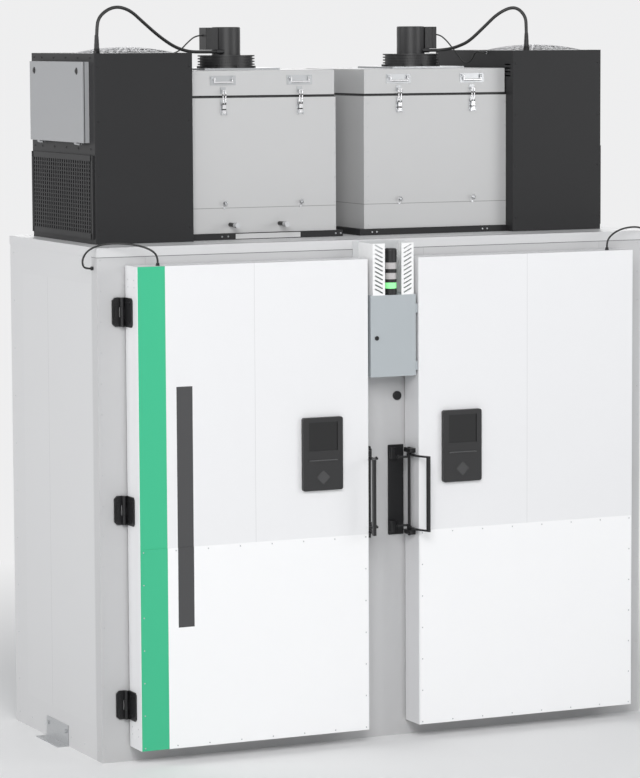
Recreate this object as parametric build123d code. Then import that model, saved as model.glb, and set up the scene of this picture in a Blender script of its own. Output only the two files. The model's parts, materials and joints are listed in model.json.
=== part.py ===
"""Two-door walk-up ultra low temperature freezer with its cooling units on the roof.

Millimetres, +X to the right seen from the front, +Y to the back, +Z up.
The model is drawn with Y = 0 on the cabinet's front face and X = 0 on the plane between
the doors, and every node is moved at the end so that the origin is at the bottom centre.
"""
from build123d import *
import math
import os

# Cabinet
CAB_W = 2510.0            # overall width of the insulated cabinet
CAB_D = 1018.0            # overall depth of the insulated cabinet
CAB_H = 2100.0            # height of the insulated cabinet
WALL = 150.0              # insulated wall, back and roof panel
FLOOR_T = 140.0           # insulated floor panel
FRAME_T = 60.0            # depth of the frame that the doors close on
DIVIDER_T = 150.0         # wall between the two chambers
TRIM_H = 38.0             # band of folded trim round the roof's edge
TRIM_T = 2.0              # trim sheet

# Doors
DOOR_GAP = 232.0          # clear width between the two doors
DOOR_MARGIN = 117.0       # cabinet's side to a door's edge
DOOR_W = (CAB_W - DOOR_GAP) / 2 - DOOR_MARGIN
DOOR_Z0 = 64.0            # lower edge of a door
DOOR_Z1 = CAB_H - 72.0    # upper edge of a door
DOOR_T = 140.0            # front of the door to the frame's face
DOOR_EDGE_R = 3.0         # folded edge of the door's skin
DOOR_LAP = 74.0           # how far a door laps over its opening's side
GASKET_T = 12.0
GASKET_W = 40.0
GASKET_INSET = 20.0       # door's edge to the gasket
PLUG_DEPTH = 50.0         # how far the door's plug reaches past the frame's face
PLUG_CLEAR = 12.0         # gap round the plug in the opening
KICK_H = 823.0            # height of the screwed lower skin sheet
KICK_T = 2.0
KICK_EDGE = 1.0           # sheet's edge inside the door's edge
PLUG_EDGE_R = 8.0

# Door hinges
HINGE_Z = (DOOR_Z0 + 172.0, (DOOR_Z0 + DOOR_Z1) / 2 - 11.0, DOOR_Z1 - 188.0)
HINGE_H = 118.0           # height of a hinge's leaves
HINGE_OFF = 16.0          # hinge axis to the door's edge, and to the frame's face
KNUCKLE_R = 9.0
HINGE_PIN_R = 4.0
HINGE_FIT = 0.05          # radial running clearance on the pin
LEAF_T = 9.0              # frame leaf
LEAF_REACH = 40.0         # hinge axis to the frame leaf's outer edge
DOOR_LEAF_T = 6.0
DOOR_LEAF_D = 78.0        # how far the door leaf runs forward on the door's edge
KNUCKLE_GAP = 0.5         # running gap between knuckles
LEAF_CORNER = 12.0        # cut corner of a frame leaf
DOOR_LEAF_CORNER = 10.0
LEAF_SCREW_R = 4.5
LEAF_SCREW_H = 3.0
LEAF_SCREW_IN = 14.0      # screws from the frame leaf's outer edge
LEAF_SCREW_Z = (-40.0, 0.0, 40.0)
DOOR_SCREW_Z = (-38.0, 38.0)
DOOR_SCREW_Y = (24.0, 58.0)

# Door handles and cam latches
ROD_R = 6.0
ROD_OFF = 15.0            # rod axis to the door's edge
ROD_Y = -79.0
ROD_Z0 = 860.0
ROD_Z1 = 1232.0
ARM_Z = (893.0, 1202.0)   # the two arms of the U grip
GRIP_REACH = 71.0         # grip's middle in front of the door
GRIP_INBOARD = 9.0        # grip's middle inboard of the door's edge
GRIP_W = 13.0
GRIP_D = 20.0
ARM_T = 7.0
ARM_W = 14.0
BLOCK_H = 18.0            # bearing block of the rod
BLOCK_W = 62.0
BLOCK_Z = (866.0, 1211.0)
CLAW_T = 8.0
CLAW_REACH = 50.0         # rod axis to the claw's rounded end
CLAW_END_R = 8.0
CLAW_ROLLER_R = 4.0
GRIP_EDGE_R = 4.0
ARM_CLEAR = 5.0           # arm's bend in front of the door
ARM_HUB = 3.0             # hub round the rod, larger and thicker than the arm
ROD_FIT = 0.06
BLOCK_CORNER_R = 8.0
BLOCK_BACK = 3.0          # block's outer face short of twice the rod's offset
BLOCK_SCREW_R = 4.0
BLOCK_SCREW_Y = (-22.0, 22.0)
BLOCK_SCREW_DEPTH = 10.0
STRIKE_W = 72.0
STRIKE_Z0 = 856.0
STRIKE_Z1 = 1236.0
STRIKE_T = 4.0
STRIKE_EDGE = 4.0         # strike plate's edge to the door's edge
STRIKE_CORNER = 3.0
KEEPER_H = 48.0
KEEPER_OUT = 24.0         # keeper's front before the frame's face
KEEPER_X = (-8.0, 20.0)   # keeper's sides from the claw's end
KEEPER_EDGE_R = 7.0

# Control panels on the doors
PANEL_W = 180.0
PANEL_H = 302.0
PANEL_Z = 1235.0
PANEL_T = 20.0
PANEL_INSET_LEFT = 125.0  # panel's edge to the door's edge on the left door
PANEL_INSET_RIGHT = 106.0
PANEL_CORNER_R = 10.0
PANEL_EDGE_R = 3.0
SCREEN_UP = 72.0          # screen's middle above the panel's
SCREEN_H = 118.0
SCREEN_SIDE = 25.0        # screen's side to the panel's side
SCREEN_DEPTH = 3.0
RIDGE_DOWN = 26.0
RIDGE_SIDE = 22.0
RIDGE_T = 5.0
DOT_ROWS = 4              # rows above and below the middle one
DOT_PITCH_X = 12.0
DOT_PITCH_Z = 6.0
DOT_W = 5.0
DOT_H = 3.2
DOTS_DOWN = 96.0

# Column between the doors
BOX_W = 208.0
BOX_Z1 = CAB_H - 224.0
BOX_Z0 = BOX_Z1 - 338.0
BOX_SHEET = 2.0
BOX_LID_T = 14.0          # folded door of the control box
BOX_PIN_R = 3.0
BOX_KNUCKLE_R = 5.0
BOX_HINGE_IN = 50.0       # hinge's middle from the box's end
BOX_KNUCKLE_H = 20.0
BOX_EAR_H = 17.0          # fixed part of the hinge, below the knuckle
BOX_EAR_GAP = 1.0
BOX_STRAP_T = 4.0
BOX_EDGE_R = 2.0
LOCK_R = 9.0
LOCK_INSET = 28.0
LOCK_COLLAR = 5.0         # collar in the door, wider than the lock
LOCK_FIT = 0.3
LOCK_OUT = 3.0
KEYWAY_W = 2.5
KEYWAY_H = 10.0
CAM_W = 12.0              # locking cam behind the door
CAM_T = 3.0
LOCK_Z = BOX_Z0 + 161.0
MAST_R = 26.5
MAST_Y = -112.0
MAST_STEPS = (26.0, 25.0, 14.0, 26.0, 16.0, 27.0, 58.0)   # base, lens, ring, lens, ring, lens, cap
GUARD_W = 56.0
GUARD_IN = 38.0           # middle plane to a guard's inner edge
GUARD_T = 2.0
GUARD_TOP = CAB_H - 10.0
GUARD_SLOTS = 11
GUARD_SLANT = 27.0
GUARD_FOOT = 14.0         # plain foot below the slots
GUARD_SLOT_W = 40.0
GUARD_SLOT_H = 6.0
GUARD_SLOT_UP = 4.0
COVER_W = 240.0
COVER_T = 3.0
PORT_R = 19.0
PORT_OUT = 10.0
PORT_EDGE_R = 4.0
PORT_X = 83.0
PORT_Z = BOX_Z0 - 96.0

# Foot brackets
FOOT_L = 254.0
FOOT_Y = 509.0
FOOT_H = 88.0
FOOT_REACH = 52.0
FOOT_T = 4.0
FOOT_BOLT_IN = 22.0       # bolt and hole from a bracket's end
FOOT_BOLT_DROP = 26.0     # bolt below the bracket's top
FOOT_BOLT_R = 9.0
FOOT_HOLE_R = 6.0
FOOT_HOLE_AT = 0.6        # hole's place along the foot's reach
HEAD_H = 0.7              # bolt head's height in radii

# Shelves
SHELF_Z = (500.0, 860.0, 1220.0, 1580.0)
SHELF_T = 28.0
SHELF_SHEET = 2.0
STANDARD_W = 30.0
STANDARD_D = 20.0
STANDARD_FRONT = 90.0     # front standard behind the frame
STANDARD_BACK = 120.0     # rear standard before the back panel
SHELF_FRONT = 10.0

# Condensing units on the roof
UNIT_W = 432.0
UNIT_D = 731.0
UNIT_H = 776.0
UNIT_Y = 209.0            # front of the unit behind the cabinet's front
UNIT_OVERHANG = 79.0      # unit's outer side to the cabinet's side
UNIT_INNER = CAB_W / 2 - UNIT_OVERHANG - UNIT_W    # middle plane to the unit's inner side
UNIT_SHEET = 3.0
UNIT_EDGE_R = 3.0
WINDOW_Y = 30.0           # intake window from the unit's front and back
WINDOW_Z = 20.0           # window inside the grille
VENT_ROWS = 4
VENT_DROP = 60.0
VENT_PITCH = 16.0
VENT_Y = (22.0, 74.0)
VENT_H = 6.0
FIN_PITCH = 14.0
FIN_T = 2.0
FIN_DEPTH = 8.0
COIL_T = 60.0
COIL_LAP = 10.0           # coil past the window
COIL_GAP = 4.0
UNIT_FAN_R = 196.0
UNIT_FAN_Y = 424.0
DOME_RIM = 6.0            # guard's rim past the fan opening
DOME_RISE = 24.0
DOME_T = 3.0
DOME_RIM_W = 8.0
DOME_RINGS = (60.0, 105.0, 150.0)
DOME_RING_W = 6.0
DOME_HUB_R = 22.0
DOME_SPOKES = 12
DOME_SPOKE_W = 7.0
FAN_MOTOR_R = 40.0
FAN_MOTOR_DROP = 30.0
FAN_MOTOR_TOP = 8.0
FAN_PIN_R = 8.0
FAN_HUB_R = 52.0
FAN_HUB_WALL = 8.0
FAN_HUB_Z = (-96.0, -34.0)      # from the unit's top
FAN_HUB_FLOOR = -60.0
FAN_BLADES = 5
FAN_BLADE = (140.0, 62.0, 3.0)
FAN_BLADE_R = 118.0       # blade's middle from the axis
FAN_BLADE_Z = -66.0
FAN_BLADE_TURN = 28.0
ENC_D = 612.0
ENC_Y = 270.0
ENC_Z0 = 412.0            # above the roof
ENC_H = 330.0
ENC_T = 30.0
ENC_COVER_T = 8.0
GRILLE_Z0 = 21.0
GRILLE_H = 341.0
GRILLE_T = 8.0
GRILLE_ROWS = 5
GRILLE_COLS = 20
GRILLE_EDGE_Y = (12.0, 8.0)     # grille's edges from the unit's front and back
GRILLE_OPEN_Y = 0.5       # open share of each pitch
GRILLE_OPEN_Z = 0.72

# Evaporator housings on the roof
HOUSE_GAP = 132.0         # clear width between the two housings
HOUSE_W = UNIT_INNER - HOUSE_GAP / 2
HOUSE_Y = 273.0
HOUSE_D = 598.0
HOUSE_WALL = 50.0
HOUSE_H = 592.0           # top of the box above the roof
SEAL_T = 6.0
LID_T = 103.0
LID_SKIRT = 4.0           # the lid is this much narrower than the box on each side
RAIL_H = 27.0
RAIL_OUT = 13.0
MOTOR_OFF = 31.0          # motor's axis from the housing's middle, away from the middle plane
MOTOR_R = 60.5
MOTOR_H = 118.0
MOTOR_BASE_R = 121.0
MOTOR_BASE_H = 54.0
MOTOR_RIBS = 4
MOTOR_PLATE_W = 343.0
MOTOR_PLATE_T = 8.0
POWER_GLAND_R = 10.0      # gland where the power cable enters the motor
SIGNAL_GLAND_R = 5.0
MOTOR_EDGE = 3.0
MOTOR_RIB_DEPTH = 9.0
MOTOR_BOX = (47.0, 36.0)        # terminal box: reach past the motor, half width
MOTOR_BOX_Z = (22.0, 2.0)       # its foot above the base, its top below the motor's top
MOTOR_LUG = (14.0, 16.0, 8.0)
MOTOR_LUG_OUT = 3.0
MOTOR_LUGS = 8
BORE_TOP = 30.0           # shaft's bore above the motor's plate
SHAFT_TOP = 28.0
SHAFT_R = 11.0
SHAFT_FIT = 0.06
BLOWER_R = 150.0
BLOWER_H = 90.0
BLOWER_DROP = 60.0        # lid's underside to the blower's back plate
BLOWER_BLADES = 8
BLOWER_PLATE_T = 3.0
BLOWER_RING_W = 55.0
BLOWER_HUB = (30.0, 40.0, 14.0)       # hub's radius, depth below and height above the back plate
BLOWER_BLADE = (78.0, 3.0)
BLOWER_BLADE_IN = 36.0
BLOWER_BLADE_TURN = 50.0
PULL_X = (175.0, -174.0)  # lid handles and latches from the housing's middle
PULL_Z = 660.0            # handle's middle above the roof
PULL_W = 116.0
PULL_H = 40.0
SIGNAL_PLUG_R = 6.0
SIGNAL_PLUG_T = 3.0       # how far the signal cable's socket stands out of the unit's side
STUB_X = (147.0, -78.0)   # pipe stubs from the left housing's middle, outboard first
STUB_RISE = 62.0          # above the roof
STUB_R = 9.0
STUB_REACH = 80.0
STUB_CAP_L = 28.0
PIPE_PLATE_X = (-129.0, 167.0)    # light plate on the left rail, from the housing's middle
PIPE_PLATE_T = 2.0
PIPE_PLATE_EDGE = 3.0     # rail's edge to the plate's edge

HANDLE_REACH = DOOR_T + GRIP_REACH + GRIP_D / 2
CENTRE_Y = (CAB_D + TRIM_T - HANDLE_REACH) / 2
HALF_W = CAB_W / 2
DOOR_X0 = DOOR_GAP / 2
DOOR_X1 = DOOR_X0 + DOOR_W
OPEN_X0 = DOOR_X0 + DOOR_LAP
OPEN_X1 = DOOR_X1 - DOOR_LAP
OPEN_Z0 = FLOOR_T
OPEN_Z1 = CAB_H - WALL
AXIS_X = DOOR_X1 + HINGE_OFF
AXIS_Y = -HINGE_OFF
ROD_X = DOOR_X0 - ROD_OFF
HOUSE_X = UNIT_INNER - HOUSE_W / 2
MOTOR_X = HOUSE_X + MOTOR_OFF
MOTOR_Y = HOUSE_Y + HOUSE_D / 2
MOTOR_Z = CAB_H + HOUSE_H + SEAL_T + LID_T + MOTOR_PLATE_T

NODES = {}


def block(x0, x1, y0, y1, z0, z1):
    """Box between the given limits."""
    size = Box(abs(x1 - x0), abs(y1 - y0), abs(z1 - z0))
    return Pos((x0 + x1) / 2, (y0 + y1) / 2, (z0 + z1) / 2) * size


def post(radius, x, y, z0, z1):
    """Upright round bar."""
    return Pos(x, y, (z0 + z1) / 2) * Cylinder(radius, z1 - z0)


def bar_x(radius, x0, x1, y, z):
    """Round bar along X."""
    return Pos((x0 + x1) / 2, y, z) * (Rot(0, 90, 0) * Cylinder(radius, abs(x1 - x0)))


def bar_y(radius, x, y0, y1, z):
    """Round bar along Y."""
    return Pos(x, (y0 + y1) / 2, z) * (Rot(90, 0, 0) * Cylinder(radius, abs(y1 - y0)))


def keep(name, *parts):
    """Store the solids of one node."""
    NODES[name] = [solid for part in parts for solid in part.solids()]


def flip(part):
    """The same piece on the other side of the middle plane."""
    return mirror(part, about=Plane.YZ)


def both(*parts):
    """Pieces drawn on the right side, with their mirrored twins on the left."""
    return [*parts, *[flip(part) for part in parts]]


def sided(name, *parts):
    """One node per side from pieces drawn on the right side."""
    keep(name + "_right", *parts)
    keep(name + "_left", *[flip(part) for part in parts])


def cabinet_panels():
    """Insulated floor, roof, back, side and dividing panels, and the front frame."""
    inner_d = CAB_D - WALL
    keep("floor_panel", block(-HALF_W, HALF_W, FRAME_T, CAB_D, 0, FLOOR_T))
    roof = block(-HALF_W, HALF_W, FRAME_T, CAB_D, OPEN_Z1, CAB_H)
    out_w = HALF_W + TRIM_T
    trim = block(-out_w, out_w, -TRIM_T, CAB_D + TRIM_T, CAB_H - TRIM_H, CAB_H)
    trim -= block(-HALF_W, HALF_W, 0, CAB_D, CAB_H - TRIM_H, CAB_H)
    keep("roof_panel", roof, trim)
    keep("back_panel", block(-HALF_W, HALF_W, inner_d, CAB_D, FLOOR_T, OPEN_Z1))
    keep("side_panels", *both(block(HALF_W - WALL, HALF_W, FRAME_T, inner_d, FLOOR_T, OPEN_Z1)))
    keep("divider_panel", block(-DIVIDER_T / 2, DIVIDER_T / 2, FRAME_T, inner_d, FLOOR_T, OPEN_Z1))
    sill = block(-HALF_W, HALF_W, 0, FRAME_T, 0, OPEN_Z0)
    header = block(-HALF_W, HALF_W, 0, FRAME_T, OPEN_Z1, CAB_H)
    mullion = block(-OPEN_X0, OPEN_X0, 0, FRAME_T, OPEN_Z0, OPEN_Z1)
    stiles = both(block(OPEN_X1, HALF_W, 0, FRAME_T, OPEN_Z0, OPEN_Z1))
    keep("front_frame", sill, header, mullion, *stiles)


def chamber_shelves():
    """Folded sheet shelves on slotted standards, four in each chamber."""
    x0 = DIVIDER_T / 2
    x1 = HALF_W - WALL
    y0 = FRAME_T
    y1 = CAB_D - WALL
    standards = []
    for x in (x0, x1 - STANDARD_D):
        for y in (y0 + STANDARD_FRONT, y1 - STANDARD_BACK):
            bar = block(x, x + STANDARD_D, y, y + STANDARD_W, FLOOR_T, OPEN_Z1)
            standards.append(bar)
    keep("shelf_standards", *both(*standards))
    shelves = []
    for z in SHELF_Z:
        sx0 = x0 + STANDARD_D
        sx1 = x1 - STANDARD_D
        tray = block(sx0, sx1, y0 + SHELF_FRONT, y1, z - SHELF_T, z)
        tray -= block(sx0 + SHELF_SHEET, sx1 - SHELF_SHEET, y0 + SHELF_FRONT + SHELF_SHEET,
                      y1 - SHELF_SHEET, z - SHELF_T, z - SHELF_SHEET)
        shelves.append(tray)
    keep("shelves", *both(*shelves))


def foot_brackets():
    """Angle brackets that hold the cabinet's sides to the floor."""
    y0 = FOOT_Y - FOOT_L / 2
    y1 = FOOT_Y + FOOT_L / 2
    foot = block(HALF_W, HALF_W + FOOT_T, y0, y1, 0, FOOT_H)
    foot += block(HALF_W, HALF_W + FOOT_REACH, y0, y1, 0, FOOT_T)
    for y in (y0 + FOOT_BOLT_IN, y1 - FOOT_BOLT_IN):
        foot += bolt_x(HALF_W + FOOT_T, y, FOOT_H - FOOT_BOLT_DROP, FOOT_BOLT_R)
        foot -= post(FOOT_HOLE_R, HALF_W + FOOT_REACH * FOOT_HOLE_AT, y, 0, FOOT_T)
    keep("foot_brackets", *both(foot))


def bolt_x(x, y, z, radius):
    """Hexagon bolt head that points along +X."""
    return extrude(Plane(origin=(x, y, z), z_dir=(1, 0, 0)) * RegularPolygon(radius, 6), radius * HEAD_H)


def door():
    """Right door: foam-filled shell with a plug, lower skin sheet and gasket."""
    shell = block(DOOR_X0, DOOR_X1, -DOOR_T, -GASKET_T, DOOR_Z0, DOOR_Z1)
    shell = fillet(shell.edges().filter_by(Axis.Z).group_by(Axis.Y)[0], DOOR_EDGE_R)
    plug = block(OPEN_X0 + PLUG_CLEAR, OPEN_X1 - PLUG_CLEAR, -GASKET_T, PLUG_DEPTH,
                 OPEN_Z0 + PLUG_CLEAR, OPEN_Z1 - PLUG_CLEAR)
    plug = fillet(plug.edges().group_by(Axis.Y)[-1], PLUG_EDGE_R)
    sided("door", shell + plug)
    edge = DOOR_EDGE_R + KICK_EDGE
    sheet = block(DOOR_X0 + edge, DOOR_X1 - edge, -DOOR_T - KICK_T, -DOOR_T,
                  DOOR_Z0 + KICK_EDGE, DOOR_Z0 + KICK_H)
    sided("kick_sheet", sheet)
    gx0 = DOOR_X0 + GASKET_INSET
    gx1 = DOOR_X1 - GASKET_INSET
    gz0 = DOOR_Z0 + GASKET_INSET
    gz1 = DOOR_Z1 - GASKET_INSET
    seal = block(gx0, gx1, -GASKET_T, 0, gz0, gz1)
    seal -= block(gx0 + GASKET_W, gx1 - GASKET_W, -GASKET_T, 0, gz0 + GASKET_W, gz1 - GASKET_W)
    sided("door_gasket", seal)


def hinge_knuckle(z0, z1, bore):
    """One knuckle of a hinge, bored for the pin."""
    knuckle = post(KNUCKLE_R, AXIS_X, AXIS_Y, z0, z1)
    return knuckle - post(bore, AXIS_X, AXIS_Y, z0, z1)


def hinge_frame_leaf(z):
    """Frame leaf with two outer knuckles and the pin, at one hinge's middle height."""
    half = HINGE_H / 2
    third = HINGE_H / 6
    leaf = block(AXIS_X, AXIS_X + LEAF_REACH, -LEAF_T, 0, z - half, z + half)
    leaf = chamfer(leaf.edges().filter_by(Axis.Y).group_by(Axis.X)[-1], LEAF_CORNER)
    leaf -= block(AXIS_X, AXIS_X + KNUCKLE_R + 2, -LEAF_T, 0, z - third - 1, z + third + 1)
    for z0, z1 in ((z - half, z - third - KNUCKLE_GAP), (z + third + KNUCKLE_GAP, z + half)):
        leaf -= post(HINGE_PIN_R, AXIS_X, AXIS_Y, z0, z1)
        leaf += hinge_knuckle(z0, z1, HINGE_PIN_R)
    leaf += post(HINGE_PIN_R, AXIS_X, AXIS_Y, z - half, z + half)
    screw_x = AXIS_X + LEAF_REACH - LEAF_SCREW_IN
    for dz in LEAF_SCREW_Z:
        leaf += bar_y(LEAF_SCREW_R, screw_x, -LEAF_T - LEAF_SCREW_H, -LEAF_T, z + dz)
    return leaf


def hinge_door_leaf(z):
    """Door leaf on the door's edge with the middle knuckle."""
    half = HINGE_H / 2
    third = HINGE_H / 6
    y1 = -GASKET_T
    leaf = block(DOOR_X1, DOOR_X1 + DOOR_LEAF_T, y1 - DOOR_LEAF_D, y1, z - half, z + half)
    leaf = chamfer(leaf.edges().filter_by(Axis.X).group_by(Axis.Y)[0], DOOR_LEAF_CORNER)
    leaf += block(DOOR_X1, AXIS_X, AXIS_Y - 4, AXIS_Y + 4, z - third + KNUCKLE_GAP, z + third - KNUCKLE_GAP)
    knuckle = post(KNUCKLE_R, AXIS_X, AXIS_Y, z - third + KNUCKLE_GAP, z + third - KNUCKLE_GAP)
    leaf += knuckle
    leaf -= post(HINGE_PIN_R + HINGE_FIT, AXIS_X, AXIS_Y, z - third, z + third)
    out_x = DOOR_X1 + DOOR_LEAF_T
    for dz in DOOR_SCREW_Z:
        for dy in DOOR_SCREW_Y:
            leaf += bar_x(LEAF_SCREW_R, out_x, out_x + LEAF_SCREW_H, y1 - dy, z + dz)
    return leaf


def rod_block(z):
    """Bearing block of the latch rod, screwed to the door's edge."""
    back = ROD_Y + BLOCK_W / 2
    body = block(DOOR_X0 - 2 * ROD_OFF + BLOCK_BACK, DOOR_X0, ROD_Y - BLOCK_W / 2, back, z, z + BLOCK_H)
    body = fillet(body.edges().filter_by(Axis.Z).group_by(Axis.X)[0], BLOCK_CORNER_R)
    body -= post(ROD_R + ROD_FIT, ROD_X, ROD_Y, z, z + BLOCK_H)
    outer = DOOR_X0 - 2 * ROD_OFF
    for dy in BLOCK_SCREW_Y:
        body -= bar_x(BLOCK_SCREW_R, outer, outer + BLOCK_SCREW_DEPTH, ROD_Y + dy, z + BLOCK_H / 2)
    return body


GLAND_NUT = 0.6           # height of a gland's nut in radii
GLAND_CAP = 1.3           # height to the cap's top in radii
GLAND_CAP_R = 0.78
DOOR_GLAND_R = 9.0
SIDE_GLAND_R = 8.0
UNIT_GLAND_R = 15.0


def gland(x, y, z, radius):
    """Cable gland on a level face: a hexagon nut with a domed cap."""
    nut = extrude(Plane(origin=(x, y, z)) * RegularPolygon(radius, 6), radius * GLAND_NUT)
    cap = post(radius * GLAND_CAP_R, x, y, z + radius * GLAND_NUT, z + radius * GLAND_CAP)
    return nut + cap


def door_hardware():
    """Black hardware on a door's edges: hinge leaves, rod blocks and a cable gland."""
    parts = [hinge_door_leaf(z) for z in HINGE_Z]
    parts += [rod_block(z) for z in BLOCK_Z]
    parts.append(gland(DOOR_CABLE[-1][0], DOOR_CABLE[-1][1], DOOR_Z1, DOOR_GLAND_R))
    sided("door_hardware", *parts)
    start = DOOR_CABLE[0]
    side_gland = bar_x(SIDE_GLAND_R, HALF_W, start[0], start[1], start[2])
    keep("hinge_leaves", *both(*[hinge_frame_leaf(z) for z in HINGE_Z], side_gland))


def door_handle():
    """Latch rod with its U grip and two rounded cam claws, on the right door."""
    rod = post(ROD_R, ROD_X, ROD_Y, ROD_Z0, ROD_Z1)
    grip_x = DOOR_X0 + GRIP_INBOARD
    grip_y = -DOOR_T - GRIP_REACH
    grip = block(grip_x - GRIP_W / 2, grip_x + GRIP_W / 2, grip_y - GRIP_D / 2, grip_y + GRIP_D / 2,
                 ARM_Z[0] - ARM_T / 2, ARM_Z[1] + ARM_T / 2)
    grip = fillet(grip.edges().filter_by(Axis.Z), GRIP_EDGE_R)
    bend_y = -DOOR_T - ARM_W / 2 - ARM_CLEAR
    reach = math.hypot(grip_x - ROD_X, grip_y - bend_y)
    turn = math.degrees(math.atan2(grip_y - bend_y, grip_x - ROD_X))
    handle = rod + grip
    for z, step in zip(ARM_Z, (1, -1)):
        arm = block(-ARM_W / 2, ARM_W / 2, bend_y - ROD_Y, 0, -ARM_T / 2, ARM_T / 2)
        arm += Pos(0, bend_y - ROD_Y, 0) * Cylinder(ARM_W / 2, ARM_T)
        arm += Cylinder(ARM_W / 2 + ARM_HUB, ARM_T + 2 * ARM_HUB)
        arm += Pos(0, bend_y - ROD_Y, 0) * (Rot(0, 0, turn) * (Pos(reach / 2, 0, 0) * Box(reach, ARM_W, ARM_T)))
        handle += Pos(ROD_X, ROD_Y, z) * arm
        claw = Pos(-CLAW_REACH / 2, 0, 0) * Box(CLAW_REACH, 2 * CLAW_END_R, CLAW_T)
        claw += Pos(-CLAW_REACH, 0, 0) * Cylinder(CLAW_END_R, CLAW_T)
        claw += Pos(-CLAW_REACH, 0, CLAW_T / 2) * Cylinder(CLAW_ROLLER_R, CLAW_T)
        handle += Pos(ROD_X, ROD_Y, z + step * (ARM_T / 2 + ARM_HUB + CLAW_T / 2)) * claw
    sided("handle", handle)


def mullion_fittings():
    """Strike plates with roller keepers, and the round pressure port's plug."""
    x0 = DOOR_X0 - STRIKE_W - STRIKE_EDGE
    strike = block(x0, x0 + STRIKE_W, -STRIKE_T, 0, STRIKE_Z0, STRIKE_Z1)
    strike = chamfer(strike.edges().filter_by(Axis.Y), STRIKE_CORNER)
    claw_x = ROD_X - CLAW_REACH
    for z in ARM_Z:
        keeper = block(claw_x + KEEPER_X[0], claw_x + KEEPER_X[1], -KEEPER_OUT, -STRIKE_T,
                       z - KEEPER_H / 2, z + KEEPER_H / 2)
        strike += fillet(keeper.edges().filter_by(Axis.Z).group_by(Axis.Y)[0], KEEPER_EDGE_R)
    port = bar_y(PORT_R, PORT_X, -PORT_OUT, 0, PORT_Z)
    port = fillet(port.edges().group_by(Axis.Y)[0], PORT_EDGE_R)
    keep("strike_plates", *both(strike), port)


def control_panel(name, side, inset):
    """Operator panel of one door: bezel with a sunk screen, a ridge and a dot grille."""
    x = side * (DOOR_X0 + inset + PANEL_W / 2)
    y = -DOOR_T
    body = block(x - PANEL_W / 2, x + PANEL_W / 2, y - PANEL_T, y, PANEL_Z - PANEL_H / 2, PANEL_Z + PANEL_H / 2)
    body = fillet(body.edges().filter_by(Axis.Y), PANEL_CORNER_R)
    body = fillet(body.edges().group_by(Axis.Y)[0], PANEL_EDGE_R)
    front = y - PANEL_T
    screen = Pos(x, front, PANEL_Z + SCREEN_UP) * Box(PANEL_W - 2 * SCREEN_SIDE, 2 * SCREEN_DEPTH, SCREEN_H)
    body -= screen
    body += Pos(x, front, PANEL_Z - RIDGE_DOWN) * Box(PANEL_W - 2 * RIDGE_SIDE, RIDGE_T, RIDGE_T)
    for row in range(-DOT_ROWS, DOT_ROWS + 1):
        count = DOT_ROWS + 1 - abs(row)
        for col in range(count):
            dx = (col - (count - 1) / 2) * DOT_PITCH_X
            dot_z = PANEL_Z - DOTS_DOWN + row * DOT_PITCH_Z
            body -= Pos(x + dx, front, dot_z) * Box(DOT_W, 2 * SCREEN_DEPTH, DOT_H)
    keep(name, body)


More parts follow.
